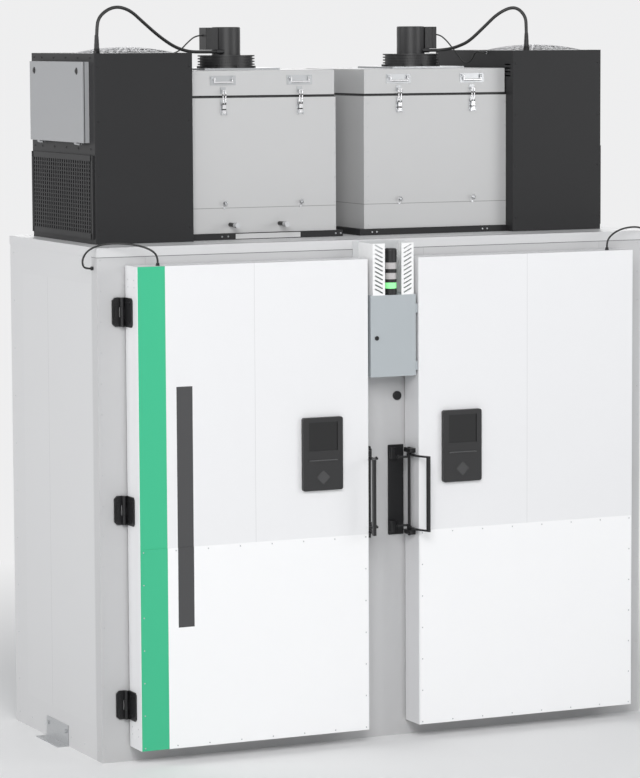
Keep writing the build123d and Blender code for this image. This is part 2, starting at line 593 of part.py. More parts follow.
def control_column():
    """Control box with its folded door and key lock, signal mast, guards and cover."""
    half = BOX_W / 2
    lid_y = -DOOR_T + BOX_LID_T
    shell = block(-half, half, lid_y, 0, BOX_Z0, BOX_Z1)
    shell -= block(-half + BOX_SHEET, half - BOX_SHEET, lid_y, -BOX_SHEET,
                   BOX_Z0 + BOX_SHEET, BOX_Z1 - BOX_SHEET)
    hinge_x = half + BOX_KNUCKLE_R
    hinge_y = -DOOR_T + BOX_KNUCKLE_R
    hinge_z = (BOX_Z0 + BOX_HINGE_IN, BOX_Z1 - BOX_HINGE_IN)
    knuckle = BOX_KNUCKLE_H / 2
    ear_top = -knuckle - BOX_EAR_GAP
    ear_foot = ear_top - BOX_EAR_H
    for z in hinge_z:
        ear = post(BOX_KNUCKLE_R, hinge_x, hinge_y, z + ear_foot, z + ear_top)
        ear += block(half, half + BOX_PIN_R, hinge_y, lid_y + BOX_LID_T, z + ear_foot, z + ear_top)
        ear += post(BOX_PIN_R, hinge_x, hinge_y, z + ear_foot, z + knuckle)
        shell += ear
    cover = block(-COVER_W / 2, COVER_W / 2, -TRIM_T - COVER_T, -TRIM_T, BOX_Z1, GUARD_TOP + 4)
    keep("control_box", shell, cover)
    lid = block(-half, half, -DOOR_T, lid_y - 1, BOX_Z0, BOX_Z1)
    lid = fillet(lid.edges().filter_by(Axis.Z).group_by(Axis.Y)[0], BOX_EDGE_R)
    lid -= block(-half + BOX_SHEET, half - BOX_SHEET, -DOOR_T + BOX_SHEET, lid_y,
                 BOX_Z0 + BOX_SHEET, BOX_Z1 - BOX_SHEET)
    strap = BOX_STRAP_T / 2
    for z in hinge_z:
        lid += post(BOX_KNUCKLE_R, hinge_x, hinge_y, z - knuckle, z + knuckle)
        lid += block(half - BOX_SHEET, hinge_x, hinge_y - strap, hinge_y + strap, z - knuckle, z + knuckle)
        lid -= post(BOX_PIN_R + HINGE_FIT, hinge_x, hinge_y, z - knuckle, z + knuckle)
    lock_x = -half + LOCK_INSET
    lid += bar_y(LOCK_R + LOCK_COLLAR, lock_x, -DOOR_T + BOX_SHEET, lid_y - 1, LOCK_Z)
    lid -= bar_y(LOCK_R + LOCK_FIT, lock_x, -DOOR_T, lid_y - 1, LOCK_Z)
    keep("control_box_door", lid)
    lock = bar_y(LOCK_R, lock_x, -DOOR_T - LOCK_OUT, lid_y - CAM_T, LOCK_Z)
    lock -= Pos(lock_x, -DOOR_T - LOCK_OUT, LOCK_Z) * Box(KEYWAY_W, 2 * LOCK_OUT, KEYWAY_H)
    lock += block(lock_x - CAM_W / 2, lock_x + CAM_W / 2, lid_y - 2 * CAM_T, lid_y - CAM_T,
                  LOCK_Z - CAM_W / 2, LOCK_Z)
    keep("control_lock", lock)
    z = BOX_Z1
    dark = []
    lenses = []
    for index, step in enumerate(MAST_STEPS):
        is_lens = index in (1, 3, 5)
        ring = post(MAST_R - (0.8 if is_lens else 0), 0, MAST_Y, z, z + step)
        (lenses if is_lens else dark).append(ring)
        z += step
    dark[-1] = fillet(dark[-1].edges().group_by(Axis.Z)[-1], 8)
    keep("signal_mast", *dark)
    keep("signal_lenses", *lenses)
    keep("mast_guards", *both(mast_guard()))


def mast_guard():
    """Slotted guard beside the mast: a folded plate with slanted slots."""
    x1 = GUARD_IN + GUARD_W
    plate = block(GUARD_IN, x1, -DOOR_T, -DOOR_T + GUARD_T, BOX_Z1, GUARD_TOP)
    pitch = (GUARD_TOP - BOX_Z1 - GUARD_FOOT) / GUARD_SLOTS
    for index in range(GUARD_SLOTS):
        z = BOX_Z1 + GUARD_FOOT + pitch * index + GUARD_SLOT_UP
        slot = Rot(0, -GUARD_SLANT, 0) * Box(GUARD_SLOT_W, 4 * GUARD_T, GUARD_SLOT_H)
        slot = Pos((GUARD_IN + x1) / 2, -DOOR_T, z) * slot
        plate -= slot
    plate += block(x1 - GUARD_T, x1, -DOOR_T, -TRIM_T - COVER_T, BOX_Z1, GUARD_TOP)
    return plate


def condensing_unit():
    """Dark sheet housing with a fan opening on top and an intake window outboard."""
    x0 = UNIT_INNER
    x1 = x0 + UNIT_W
    y1 = UNIT_Y + UNIT_D
    z1 = CAB_H + UNIT_H
    fan_x = (x0 + x1) / 2
    shell = block(x0, x1, UNIT_Y, y1, CAB_H, z1)
    shell = fillet(shell.edges().filter_by(Axis.Z), UNIT_EDGE_R)
    s = UNIT_SHEET
    shell -= block(x0 + s, x1 - s, UNIT_Y + s, y1 - s, CAB_H + s, z1 - s)
    shell -= post(UNIT_FAN_R, fan_x, UNIT_FAN_Y, z1 - s, z1)
    win_y0 = UNIT_Y + WINDOW_Y
    win_y1 = y1 - WINDOW_Y
    win_z0 = CAB_H + GRILLE_Z0 + WINDOW_Z
    win_z1 = CAB_H + GRILLE_Z0 + GRILLE_H - WINDOW_Z
    shell -= block(x1 - s, x1, win_y0, win_y1, win_z0, win_z1)
    for row in range(VENT_ROWS):
        z = z1 - VENT_DROP - row * VENT_PITCH
        shell -= block(x0, x0 + s, UNIT_Y + VENT_Y[0], UNIT_Y + VENT_Y[1], z - VENT_H / 2, z + VENT_H / 2)
    keep("unit_housings", *both(shell))
    grille = block(x1, x1 + GRILLE_T, UNIT_Y + GRILLE_EDGE_Y[0], y1 - GRILLE_EDGE_Y[1],
                   CAB_H + GRILLE_Z0, CAB_H + GRILLE_Z0 + GRILLE_H)
    pitch_y = (win_y1 - win_y0) / GRILLE_COLS
    pitch_z = (win_z1 - win_z0) / GRILLE_ROWS
    slots = [Pos(x1 + GRILLE_T / 2, win_y0 + pitch_y * (col + 0.5), win_z0 + pitch_z * (row + 0.5))
             * Box(2 * GRILLE_T, pitch_y * GRILLE_OPEN_Y, pitch_z * GRILLE_OPEN_Z)
             for row in range(GRILLE_ROWS) for col in range(GRILLE_COLS)]
    grille -= slots
    keep("intake_grilles", *both(grille))
    coil_x1 = x1 - s - COIL_GAP
    fin_x0 = coil_x1 - FIN_DEPTH
    coil_y0 = win_y0 - COIL_LAP
    coil_y1 = win_y1 + COIL_LAP
    coil_z0 = win_z0 - COIL_LAP
    coil = block(coil_x1 - COIL_T, fin_x0, coil_y0, coil_y1, coil_z0, win_z1 + COIL_LAP)
    fin = block(fin_x0, coil_x1, win_y0, win_y0 + FIN_T, coil_z0, win_z1 + COIL_LAP)
    fins = [Pos(0, FIN_PITCH * k, 0) * fin for k in range(int((win_y1 - win_y0) / FIN_PITCH))]
    tray = block(coil_x1 - COIL_T - s * 2, x1 - s, coil_y0, coil_y1, CAB_H + s, coil_z0)
    keep("condenser_coils", *both(coil + fins + tray))


def dome_guard():
    """Domed guard of the roof fan, with rings, spokes and the fan motor that it carries."""
    x = UNIT_INNER + UNIT_W / 2
    top = CAB_H + UNIT_H
    rim = UNIT_FAN_R + DOME_RIM
    ball = (rim * rim + DOME_RISE * DOME_RISE) / (2 * DOME_RISE)
    dome = Pos(x, UNIT_FAN_Y, top + DOME_RISE - ball) * (Sphere(ball) - Sphere(ball - DOME_T))
    tall = 2 * DOME_RISE
    above = Pos(x, UNIT_FAN_Y, top + DOME_RISE)
    mask = above * (Cylinder(rim, tall) - Cylinder(rim - DOME_RIM_W, tall))
    for ring in DOME_RINGS:
        mask += above * (Cylinder(ring + DOME_RING_W / 2, tall) - Cylinder(ring - DOME_RING_W / 2, tall))
    mask += above * Cylinder(DOME_HUB_R, tall)
    for spoke in range(DOME_SPOKES // 2):
        mask += above * (Rot(0, 0, 360 / DOME_SPOKES * spoke) * Box(2 * rim - 4, DOME_SPOKE_W, tall))
    guard = dome & mask
    guard += post(FAN_MOTOR_R, x, UNIT_FAN_Y, top - FAN_MOTOR_DROP, top + FAN_MOTOR_TOP)
    guard += post(FAN_MOTOR_R / 2, x, UNIT_FAN_Y, top + FAN_MOTOR_TOP - 2, top + DOME_RISE - 1)
    guard -= post(FAN_PIN_R + SHAFT_FIT, x, UNIT_FAN_Y, top - FAN_MOTOR_DROP, top + 2)
    keep("fan_guards", *both(guard))
    hub = post(FAN_HUB_R, x, UNIT_FAN_Y, top + FAN_HUB_Z[0], top + FAN_HUB_Z[1])
    hub -= post(FAN_HUB_R - FAN_HUB_WALL, x, UNIT_FAN_Y, top + FAN_HUB_FLOOR, top + FAN_HUB_Z[1])
    hub += post(FAN_PIN_R, x, UNIT_FAN_Y, top + FAN_HUB_Z[0] + DOME_RIM, top)
    blade = Pos(FAN_BLADE_R, 0, 0) * (Rot(FAN_BLADE_TURN, 0, 0) * Box(*FAN_BLADE))
    for index in range(FAN_BLADES):
        hub += Pos(x, UNIT_FAN_Y, top + FAN_BLADE_Z) * (Rot(0, 0, 360 / FAN_BLADES * index) * blade)
    sided("unit_fan", hub)


def unit_enclosure():
    """Wiring enclosure outboard on the unit, with a cover hinged along its lower edge."""
    x0 = UNIT_INNER + UNIT_W
    x1 = x0 + ENC_T
    z0 = CAB_H + ENC_Z0
    z1 = z0 + ENC_H
    y1 = ENC_Y + ENC_D
    cx0 = x1 - ENC_COVER_T
    tub = block(x0, cx0, ENC_Y, y1, z0, z1)
    tub -= block(x0 + 2, cx0, ENC_Y + 8, y1 - 8, z0 + 8, z1 - 8)
    axis_x = cx0
    axis_z = z0 - 6.0
    cover = block(cx0 + 0.4, x1, ENC_Y, y1, z0, z1)
    cover = fillet(cover.edges().group_by(Axis.X)[-1], 2)
    for y in (ENC_Y + 90, y1 - 90):
        tub += bar_y(4, axis_x, y - 40, y - 14, axis_z)
        tub += block(axis_x - 8, axis_x, y - 40, y - 14, axis_z - 3, z0 + 4)
        tub += bar_y(2.5, axis_x, y - 20, y + 14, axis_z)
        knuckle = bar_y(4, axis_x, y - 13.5, y + 14, axis_z)
        knuckle += block(axis_x + 0.4, x1 - 2, y - 13.5, y + 14, axis_z, z0 + 4)
        cover += knuckle
        cover -= bar_y(2.5 + HINGE_FIT, axis_x, y - 14, y + 15, axis_z)
    for y in (ENC_Y + 62, y1 - 55):
        cover += bar_x(9, x1, x1 + 4, y, z1 - 38)
        cover -= Pos(x1 + 4, y, z1 - 38) * Box(5, 3, 11)
    keep("enclosures", *both(tub))
    sided("enclosure_cover", cover)


def evaporator_housing():
    """Insulated box on the roof with its seal, base rail and coil; the lid lifts off."""
    x0 = UNIT_INNER - HOUSE_W
    x1 = UNIT_INNER
    y1 = HOUSE_Y + HOUSE_D
    z1 = CAB_H + HOUSE_H
    w = HOUSE_WALL
    box = block(x0, x1, HOUSE_Y, y1, CAB_H + RAIL_H, z1)
    box -= block(x0 + w, x1 - w, HOUSE_Y + w, y1 - w, CAB_H + RAIL_H + w, z1)
    plate_y = HOUSE_Y - RAIL_OUT
    plate = block(PIPE_PLATE_X[0] - HOUSE_X, PIPE_PLATE_X[1] - HOUSE_X, plate_y - PIPE_PLATE_T, plate_y,
                  CAB_H + PIPE_PLATE_EDGE, CAB_H + RAIL_H - PIPE_PLATE_EDGE)
    keep("evaporator_housings", *both(box), plate)
    seal = block(x0 + 4, x1 - 4, HOUSE_Y + 4, y1 - 4, z1, z1 + SEAL_T)
    seal -= block(x0 + w, x1 - w, HOUSE_Y + w, y1 - w, z1, z1 + SEAL_T)
    rail = block(x0 - 26, x1, HOUSE_Y - RAIL_OUT, y1, CAB_H, CAB_H + RAIL_H)
    rail -= block(x0 + 30, x1 - 30, HOUSE_Y + 30, y1 - 30, CAB_H, CAB_H + RAIL_H)
    keep("housing_rails", *both(seal, rail))
    bottom = CAB_H + RAIL_H + w
    cx0 = x0 + w + 20
    cx1 = x1 - w - 20
    fins = [block(cx0 + k * 44, cx0 + k * 44 + 3, HOUSE_Y + w + 20, y1 - w - 20, bottom, bottom + 250)
            for k in range(int((cx1 - cx0) / 44) + 1)]
    coil = fins[0] + fins[1:]
    for y in range(4):
        for z in range(2):
            coil += bar_x(9, cx0, cx1 - 10, HOUSE_Y + w + 90 + y * 100, bottom + 80 + z * 90)
    keep("evaporator_coils", *both(coil))


def housing_lid():
    """Lid with its pulls' plates and latch keepers, the fan motor and the blower."""
    x0 = UNIT_INNER - HOUSE_W
    mid = x0 + HOUSE_W / 2
    z0 = CAB_H + HOUSE_H + SEAL_T
    z1 = z0 + LID_T
    ly0 = HOUSE_Y + LID_SKIRT
    ly1 = HOUSE_Y + HOUSE_D - LID_SKIRT
    mx = MOTOR_X
    my = MOTOR_Y
    lid = block(x0 + LID_SKIRT, UNIT_INNER - LID_SKIRT, ly0, ly1, z0, z1)
    lid = fillet(lid.edges().group_by(Axis.Z)[-1], 4)
    lid -= post(SHAFT_R + 4, mx, my, z0, z1)
    sided("housing_lid", lid)
    fittings = []
    pulls = []
    for dx in PULL_X:
        px = mid + dx
        pz = CAB_H + PULL_Z
        plate = block(px - PULL_W / 2, px + PULL_W / 2, ly0 - 2, ly0, pz - PULL_H / 2, pz + PULL_H / 2)
        for side in (-1, 1):
            ear = block(px + side * 46 - 3, px + side * 46 + 3, ly0 - 15, ly0 - 2, pz + 4, pz + 16)
            plate += ear - bar_x(3 + HINGE_FIT, px + side * 46 - 3, px + side * 46 + 3, ly0 - 9, pz + 10)
        fittings.append(plate)
        keeper = block(px - 12, px + 12, ly0 - 3, ly0, z0 + 8, z0 + 34)
        keeper += block(px - 9, px + 9, ly0 - 7, ly0 - 3, z0 + 12, z0 + 20)
        fittings.append(keeper)
        bail = bar_x(3, px - 50, px - 37, ly0 - 9, pz + 10) + bar_x(3, px + 37, px + 50, ly0 - 9, pz + 10)
        for side in (-1, 1):
            bail += post(2.5, px + side * 40, ly0 - 9, pz - 9, pz + 12)
        bail += bar_x(5, px - 43, px + 43, ly0 - 9, pz - 8)
        pulls.append(bail)
    sided("lid_pulls", *pulls)
    base_z = z1 + MOTOR_PLATE_T
    half = MOTOR_PLATE_W / 2
    plate = block(mx - half, mx + half, my - half, my + half, z1, base_z)
    motor = post(MOTOR_BASE_R, mx, my, base_z, base_z + MOTOR_BASE_H)
    groove = MOTOR_BASE_H / (2 * MOTOR_RIBS + 1)
    for k in range(MOTOR_RIBS):
        z = base_z + groove * (2 * k + 1)
        core = post(MOTOR_BASE_R - MOTOR_RIB_DEPTH, mx, my, z, z + groove)
        motor -= post(MOTOR_BASE_R + 1, mx, my, z, z + groove) - core
    body_z = base_z + MOTOR_BASE_H
    body = post(MOTOR_R, mx, my, body_z, body_z + MOTOR_H)
    body = chamfer(body.edges().group_by(Axis.Z)[-1], MOTOR_EDGE)
    motor += body
    reach, wide = MOTOR_BOX
    motor += block(mx + MOTOR_R - MOTOR_LUG[2], mx + MOTOR_R + reach, my - wide, my + wide,
                   body_z + MOTOR_BOX_Z[0], body_z + MOTOR_H - MOTOR_BOX_Z[1])
    lug = Pos(MOTOR_BASE_R + MOTOR_LUG_OUT, 0, 0) * Box(*MOTOR_LUG)
    for index in range(MOTOR_LUGS):
        motor += Pos(mx, my, base_z + MOTOR_LUG[2] / 2) * (Rot(0, 0, 360 / MOTOR_LUGS * index) * lug)
    motor += bar_x(SIGNAL_GLAND_R, mx + MOTOR_R, SIGNAL_CABLE_RIGHT[0][0], my, SIGNAL_CABLE_RIGHT[0][2])
    end_x, end_y, end_z = POWER_CABLE_RIGHT[-1]
    motor += bar_x(POWER_GLAND_R, mx + MOTOR_R / 2, end_x, end_y, end_z)
    bore = post(SHAFT_R + SHAFT_FIT, mx, my, z1, base_z + BORE_TOP)
    sided("lid_fittings", *fittings, plate - bore)
    sided("fan_motor", motor - bore)
    top = z0 - BLOWER_DROP
    wheel = post(SHAFT_R, mx, my, top - BLOWER_H, base_z + SHAFT_TOP)
    wheel += post(BLOWER_R, mx, my, top - BLOWER_PLATE_T, top)
    wheel += post(BLOWER_HUB[0], mx, my, top - BLOWER_HUB[1], top + BLOWER_HUB[2])
    low = top - BLOWER_H
    ring = post(BLOWER_R, mx, my, low, low + BLOWER_PLATE_T)
    wheel += ring - post(BLOWER_R - BLOWER_RING_W, mx, my, low, low + BLOWER_PLATE_T)
    blade = Rot(0, 0, BLOWER_BLADE_TURN) * Box(*BLOWER_BLADE, BLOWER_H)
    blade = Pos(BLOWER_R - BLOWER_BLADE_IN, 0, 0) * blade
    for k in range(BLOWER_BLADES):
        wheel += Pos(mx, my, top - BLOWER_H / 2) * (Rot(0, 0, 360 / BLOWER_BLADES * k) * blade)
    sided("blower", wheel & post(BLOWER_R, mx, my, top - BLOWER_H, base_z + SHAFT_TOP))


def housing_latches():
    """Toggle latches on the front of a housing: base plates, and levers with hooks."""
    mid = UNIT_INNER - HOUSE_W / 2
    seam = CAB_H + HOUSE_H
    y = HOUSE_Y
    bases = []
    levers = []
    for dx in PULL_X:
        x = mid + dx
        base = block(x - 14, x + 14, y - 3, y, seam - 74, seam - 12)
        for side in (-1, 1):
            ear = block(x + side * 11 - 2, x + side * 11 + 2, y - 16, y - 3, seam - 73, seam - 59)
            base += ear - bar_x(3 + HINGE_FIT, x + side * 11 - 2, x + side * 11 + 2, y - 10, seam - 66)
        base += bar_y(5, x, y - 4, y, seam - 460)
        bases.append(base)
        lever = bar_x(3, x - 13, x + 13, y - 10, seam - 66)
        lever += block(x - 7, x + 7, y - 15, y - 8, seam - 69, seam - 30)
        for side in (-1, 1):
            lever += post(2.5, x + side * 6, y - 12, seam - 40, seam + 26)
        lever += bar_x(3, x - 9, x + 9, y - 12, seam + 26)
        levers.append(lever)
    sided("latches", *levers)
    return both(*bases)


def smooth_path(points):
    """Straight runs joined by tangent arcs, each as large as its two runs allow."""
    radii = []
    for before, here, after in zip(points, points[1:], points[2:]):
        a = Vector(*here) - Vector(*before)
        b = Vector(*after) - Vector(*here)
        turn = math.radians(a.get_angle(b))
        radii.append(0.45 * min(a.length, b.length) / math.tan(turn / 2))
    print("bend radii", [round(radius) for radius in radii])
    return FilletPolyline(*points, radius=radii)


def cable(name, points, radius):
    """Round cable along a route of hand-placed points."""
    path = smooth_path(points)
    start = Plane(origin=path @ 0, z_dir=path % 0)
    tube = sweep(start * Circle(radius), path=path)
    expected = math.pi * radius ** 2 * path.length
    print(name, "volume ratio", round(tube.volume / expected, 4))
    keep(name, tube)


def route(start, first, end, last):
    """Cable route: the first points are set out from start, the last ones from end."""
    points = [tuple(a + b for a, b in zip(start, step)) for step in first]
    return points + [tuple(a + b for a, b in zip(end, step)) for step in last]


DOOR_CABLE = route(
    (HALF_W, 0, CAB_H),
    [(8, 45, -84), (31, 45, -84), (45, 44, -70), (46, 38, -40), (32, 14, -8), (-1, -16, 12)],
    (DOOR_X1, -DOOR_T, DOOR_Z1),
    [(66, 102, 92), (4, 80, 89), (-48, 56, 78), (-86, 42, 60), (-105, 39, 36), (-105, 39, 11.7)],
)
POWER_CABLE_RIGHT = route(
    (UNIT_INNER, UNIT_Y, CAB_H + UNIT_H),
    [(82, 30, 19.5), (82, 30, 90), (82, 38, 150), (40, 60, 190), (-22, 92, 160), (-68, 136, 100)],
    (MOTOR_X, MOTOR_Y, MOTOR_Z),
    [(196, -172, 106), (172, -124, 86), (152, -88, 75), (128, -62, 70), (99, -45, 68), (66, -45, 68)],
)
POWER_CABLE_LEFT = route(
    (-UNIT_INNER, UNIT_Y, CAB_H + UNIT_H),
    [(-408, 30, 19.5), (-408, 30, 92), (-395, 38, 150), (-326, 53, 191), (-245, 81, 179), (-163, 121, 122),
     (-79, 166, 68)],
    (-MOTOR_X, MOTOR_Y, MOTOR_Z),
    [(-302, -142, 94), (-236, -96, 76), (-186, -68, 69), (-140, -52, 68), (-102, -45, 68), (-66, -45, 68)],
)
SIGNAL_CABLE_RIGHT = route(
    (MOTOR_X, MOTOR_Y, MOTOR_Z),
    [(110, 0, 137), (138, 0, 137), (168, -8, 113), (195, -17, 78), (217, -25, 48), (230, -35, 24),
     (241, -45, 12), (255, -61, 14), (263, -75, 32)],
    (UNIT_INNER, MOTOR_Y, CAB_H + UNIT_H),
    [(-43, -90, -14), (-40, -104, -5), (-33, -118, -7), (-19, -126, -10), (-SIGNAL_PLUG_T, -126, -10)],
)
SIGNAL_CABLE_LEFT = route(
    (-MOTOR_X, MOTOR_Y, MOTOR_Z),
    [(-110, 0, 137), (-138, 0, 137), (-171, 8, 110), (-200, 20, 76), (-236, 26, 60)],
    (-UNIT_INNER, MOTOR_Y, CAB_H + UNIT_H),
    [(32, 30, -10), (SIGNAL_PLUG_T, 30, -10)],
)


def cables():
    """Door heater loops, power cables and signal cables."""
    cable("door_cable_right", DOOR_CABLE, 4)
    cable("door_cable_left", [(-x, y, z) for x, y, z in DOOR_CABLE], 4)
    cable("power_cable_right", POWER_CABLE_RIGHT, 7)
    cable("power_cable_left", POWER_CABLE_LEFT, 7)
    cable("signal_cable_right", SIGNAL_CABLE_RIGHT, 3)
    cable("signal_cable_left", SIGNAL_CABLE_LEFT, 3)


def roof_fittings(latch_bases):
    """Latch bases, cable glands, signal plugs and refrigerant stubs on the roof units."""
    top = CAB_H + UNIT_H
    parts = list(latch_bases)
    for x, y, _ in (POWER_CABLE_RIGHT[0], POWER_CABLE_LEFT[0]):
        parts.append(gland(x, y, top, UNIT_GLAND_R))
    for side, (x, y, z) in ((1, SIGNAL_CABLE_RIGHT[-1]), (-1, SIGNAL_CABLE_LEFT[-1])):
        parts.append(bar_x(SIGNAL_PLUG_R, x, side * UNIT_INNER, y, z))
    for dx in STUB_X:
        stub = bar_y(STUB_R, HOUSE_X + dx, HOUSE_Y - STUB_REACH + STUB_CAP_L / 2, HOUSE_Y, CAB_H + STUB_RISE)
        stub += bar_y(STUB_R + 2.5, HOUSE_X + dx, HOUSE_Y - STUB_REACH, HOUSE_Y - STUB_REACH + STUB_CAP_L,
                      CAB_H + STUB_RISE)
        parts.append(flip(stub))
    keep("roof_fittings", *parts)


cabinet_panels()
chamber_shelves()
foot_brackets()
door()
door_hardware()
door_handle()
mullion_fittings()
control_panel("control_panel_right", 1, PANEL_INSET_RIGHT)
control_panel("control_panel_left", -1, PANEL_INSET_LEFT)
control_column()
condensing_unit()
dome_guard()
unit_enclosure()
evaporator_housing()
housing_lid()
roof_fittings(housing_latches())
cables()

os.makedirs("parts", exist_ok=True)
for node_name, solids in NODES.items():
    moved = [Pos(0, -CENTRE_Y, 0) * solid for solid in solids]
    export_step(moved[0] if len(moved) == 1 else Compound(children=moved), f"parts/{node_name}.step")
print(len(NODES), "nodes")
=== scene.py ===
# %% [markdown]
# # A two-door walk-up freezer, dressed for its photograph
# The rigid parts come in as a fixed frame: every panel, hinge and fan is already the right
# size and place. This lesson adds finishes, screws, wires, grilles, cables and the stage.
# It goes from the camera to the finishes, then to the small pieces that repeat, and ends
# with the light.

# %% Load the frame
import json
import math
import bpy
import bmesh
from mathutils import Matrix, Vector


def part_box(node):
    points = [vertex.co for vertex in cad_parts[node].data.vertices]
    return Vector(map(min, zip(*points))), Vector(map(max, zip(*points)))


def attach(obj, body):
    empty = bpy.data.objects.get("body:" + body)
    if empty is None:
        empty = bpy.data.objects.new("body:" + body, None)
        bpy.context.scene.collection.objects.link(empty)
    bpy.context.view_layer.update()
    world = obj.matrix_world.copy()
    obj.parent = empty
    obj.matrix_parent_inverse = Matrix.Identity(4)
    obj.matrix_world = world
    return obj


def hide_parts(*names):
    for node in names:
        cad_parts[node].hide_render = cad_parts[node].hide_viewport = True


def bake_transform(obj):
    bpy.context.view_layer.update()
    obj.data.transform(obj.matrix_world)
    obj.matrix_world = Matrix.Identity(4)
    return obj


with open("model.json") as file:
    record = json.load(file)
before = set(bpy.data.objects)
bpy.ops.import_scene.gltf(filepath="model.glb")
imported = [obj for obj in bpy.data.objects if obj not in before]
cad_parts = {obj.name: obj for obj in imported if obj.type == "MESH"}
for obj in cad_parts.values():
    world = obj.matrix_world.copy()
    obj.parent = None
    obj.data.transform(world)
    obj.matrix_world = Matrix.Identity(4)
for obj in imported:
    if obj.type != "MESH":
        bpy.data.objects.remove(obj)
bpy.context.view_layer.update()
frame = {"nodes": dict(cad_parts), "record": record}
NODES = frame["nodes"]
SIDES = ("left", "right")
SIGNED_SIDES = (("left", -1), ("right", 1))
CENTRE_Y = 0.3995  # the frame's middle, behind the face that the doors close on
HAIR = 0.0001      # keeps two surfaces from lying in one plane

# %% [markdown]
# ## The camera
# The picture was taken with a long lens from the left and a little above. A turn and a tilt
# say where the lens looks; the tiny roll is how far the picture leans. The focal length was
# worked out in picture widths, so it only has to be scaled to the film's width.

# %% Camera
PICTURE_W = 640.0
FOCAL_PX = 3477.6
CAMERA_AT = Vector((-6.310, -13.407, 2.948))
TURN, TILT, LEAN = (math.radians(a) for a in (24.904, -5.822, -0.288))

forward = Vector((math.sin(TURN) * math.cos(TILT), math.cos(TURN) * math.cos(TILT), math.sin(TILT)))
level = forward.cross(Vector((0, 0, 1))).normalized()
down = forward.cross(level)
right = level * math.cos(LEAN) - down * math.sin(LEAN)
below = level * math.sin(LEAN) + down * math.cos(LEAN)
camera_data = bpy.data.cameras.new("camera")
camera_data.sensor_fit = "HORIZONTAL"
camera_data.sensor_width = 36.0
camera_data.lens = FOCAL_PX / PICTURE_W * camera_data.sensor_width
camera = bpy.data.objects.new("camera", camera_data)
bpy.context.scene.collection.objects.link(camera)
axes = Matrix((right, -below, -forward)).transposed().to_4x4()
camera.matrix_world = Matrix.Translation(CAMERA_AT) @ axes
bpy.context.scene.camera = camera
print("lens", round(camera_data.lens, 1), "mm")

# %% [markdown]
# ## A small language for shader maths
# A shader tree is arithmetic drawn with boxes. Wrapping a socket in a class lets Python's own
# operators add those boxes, so a mask can be written as `1 - edge * 2`.


# %% Socket wrapper
class Sock:
    """A node's output that can be added, multiplied and compared in Python."""

    def __init__(self, tree, output):
        self.tree = tree
        self.output = output

    def node(self, kind, settings=None, inputs=None, out=0):
        made = self.tree.nodes.new(kind)
        for key, value in (settings or {}).items():
            setattr(made, key, value)
        for key, value in (inputs or {}).items():
            socket = made.inputs[key]
            if isinstance(value, Sock):
                self.tree.links.new(value.output, socket)
            else:
                socket.default_value = value
        return Sock(self.tree, made.outputs[out])

    def maths(self, operation, *others):
        values = {0: self}
        values.update(enumerate(others, 1))
        return self.node("ShaderNodeMath", {"operation": operation}, values)

    def __add__(self, other):
        return self.maths("ADD", other)

    __radd__ = __add__

    def __sub__(self, other):
        return self.maths("SUBTRACT", other)

    def __rsub__(self, other):
        return (self * -1.0) + other

    def __mul__(self, other):
        return self.maths("MULTIPLY", other)

    __rmul__ = __mul__

    def __truediv__(self, other):
        return self.maths("DIVIDE", other)

    def above(self, limit):
        return self.maths("GREATER_THAN", limit)

    def between(self, low, high):
        return self.above(low) * (1 - self.above(high))

    def clamp(self):
        return self.maths("MAXIMUM", 0.0).maths("MINIMUM", 1.0)

    def mix(self, first, second):
        """Colour mix with this value as its factor."""
        made = self.tree.nodes.new("ShaderNodeMix")
        made.data_type = "RGBA"
        self.tree.links.new(self.output, made.inputs[0])
        for socket, value in ((made.inputs[6], first), (made.inputs[7], second)):
            if isinstance(value, Sock):
                self.tree.links.new(value.output, socket)
            else:
                socket.default_value = (*value, 1.0)
        return Sock(self.tree, made.outputs[2])


# %% [markdown]
# ## Finishes
# Coated sheet is never one flat colour: powder coat has a fine orange-peel skin, big panels
# vary a little in tone, and metal has brushed grain. Each finish below is a base colour with
# a slow variation, a roughness that changes with it, and a fine bump.


# %% Finish builder
SLOW_SCALE, GRAIN_SCALE = 3.1, 60.0
TONE_GAIN = 8
ROUGH_SWING, GRAIN_SWING = 0.12, 0.22
DUST, DUST_FALL = (0.42, 0.40, 0.37), 2.2
COAT_ROUGH = 0.12
BUMP_DEPTH, GRAIN_BUMP = 0.0004, 0.12


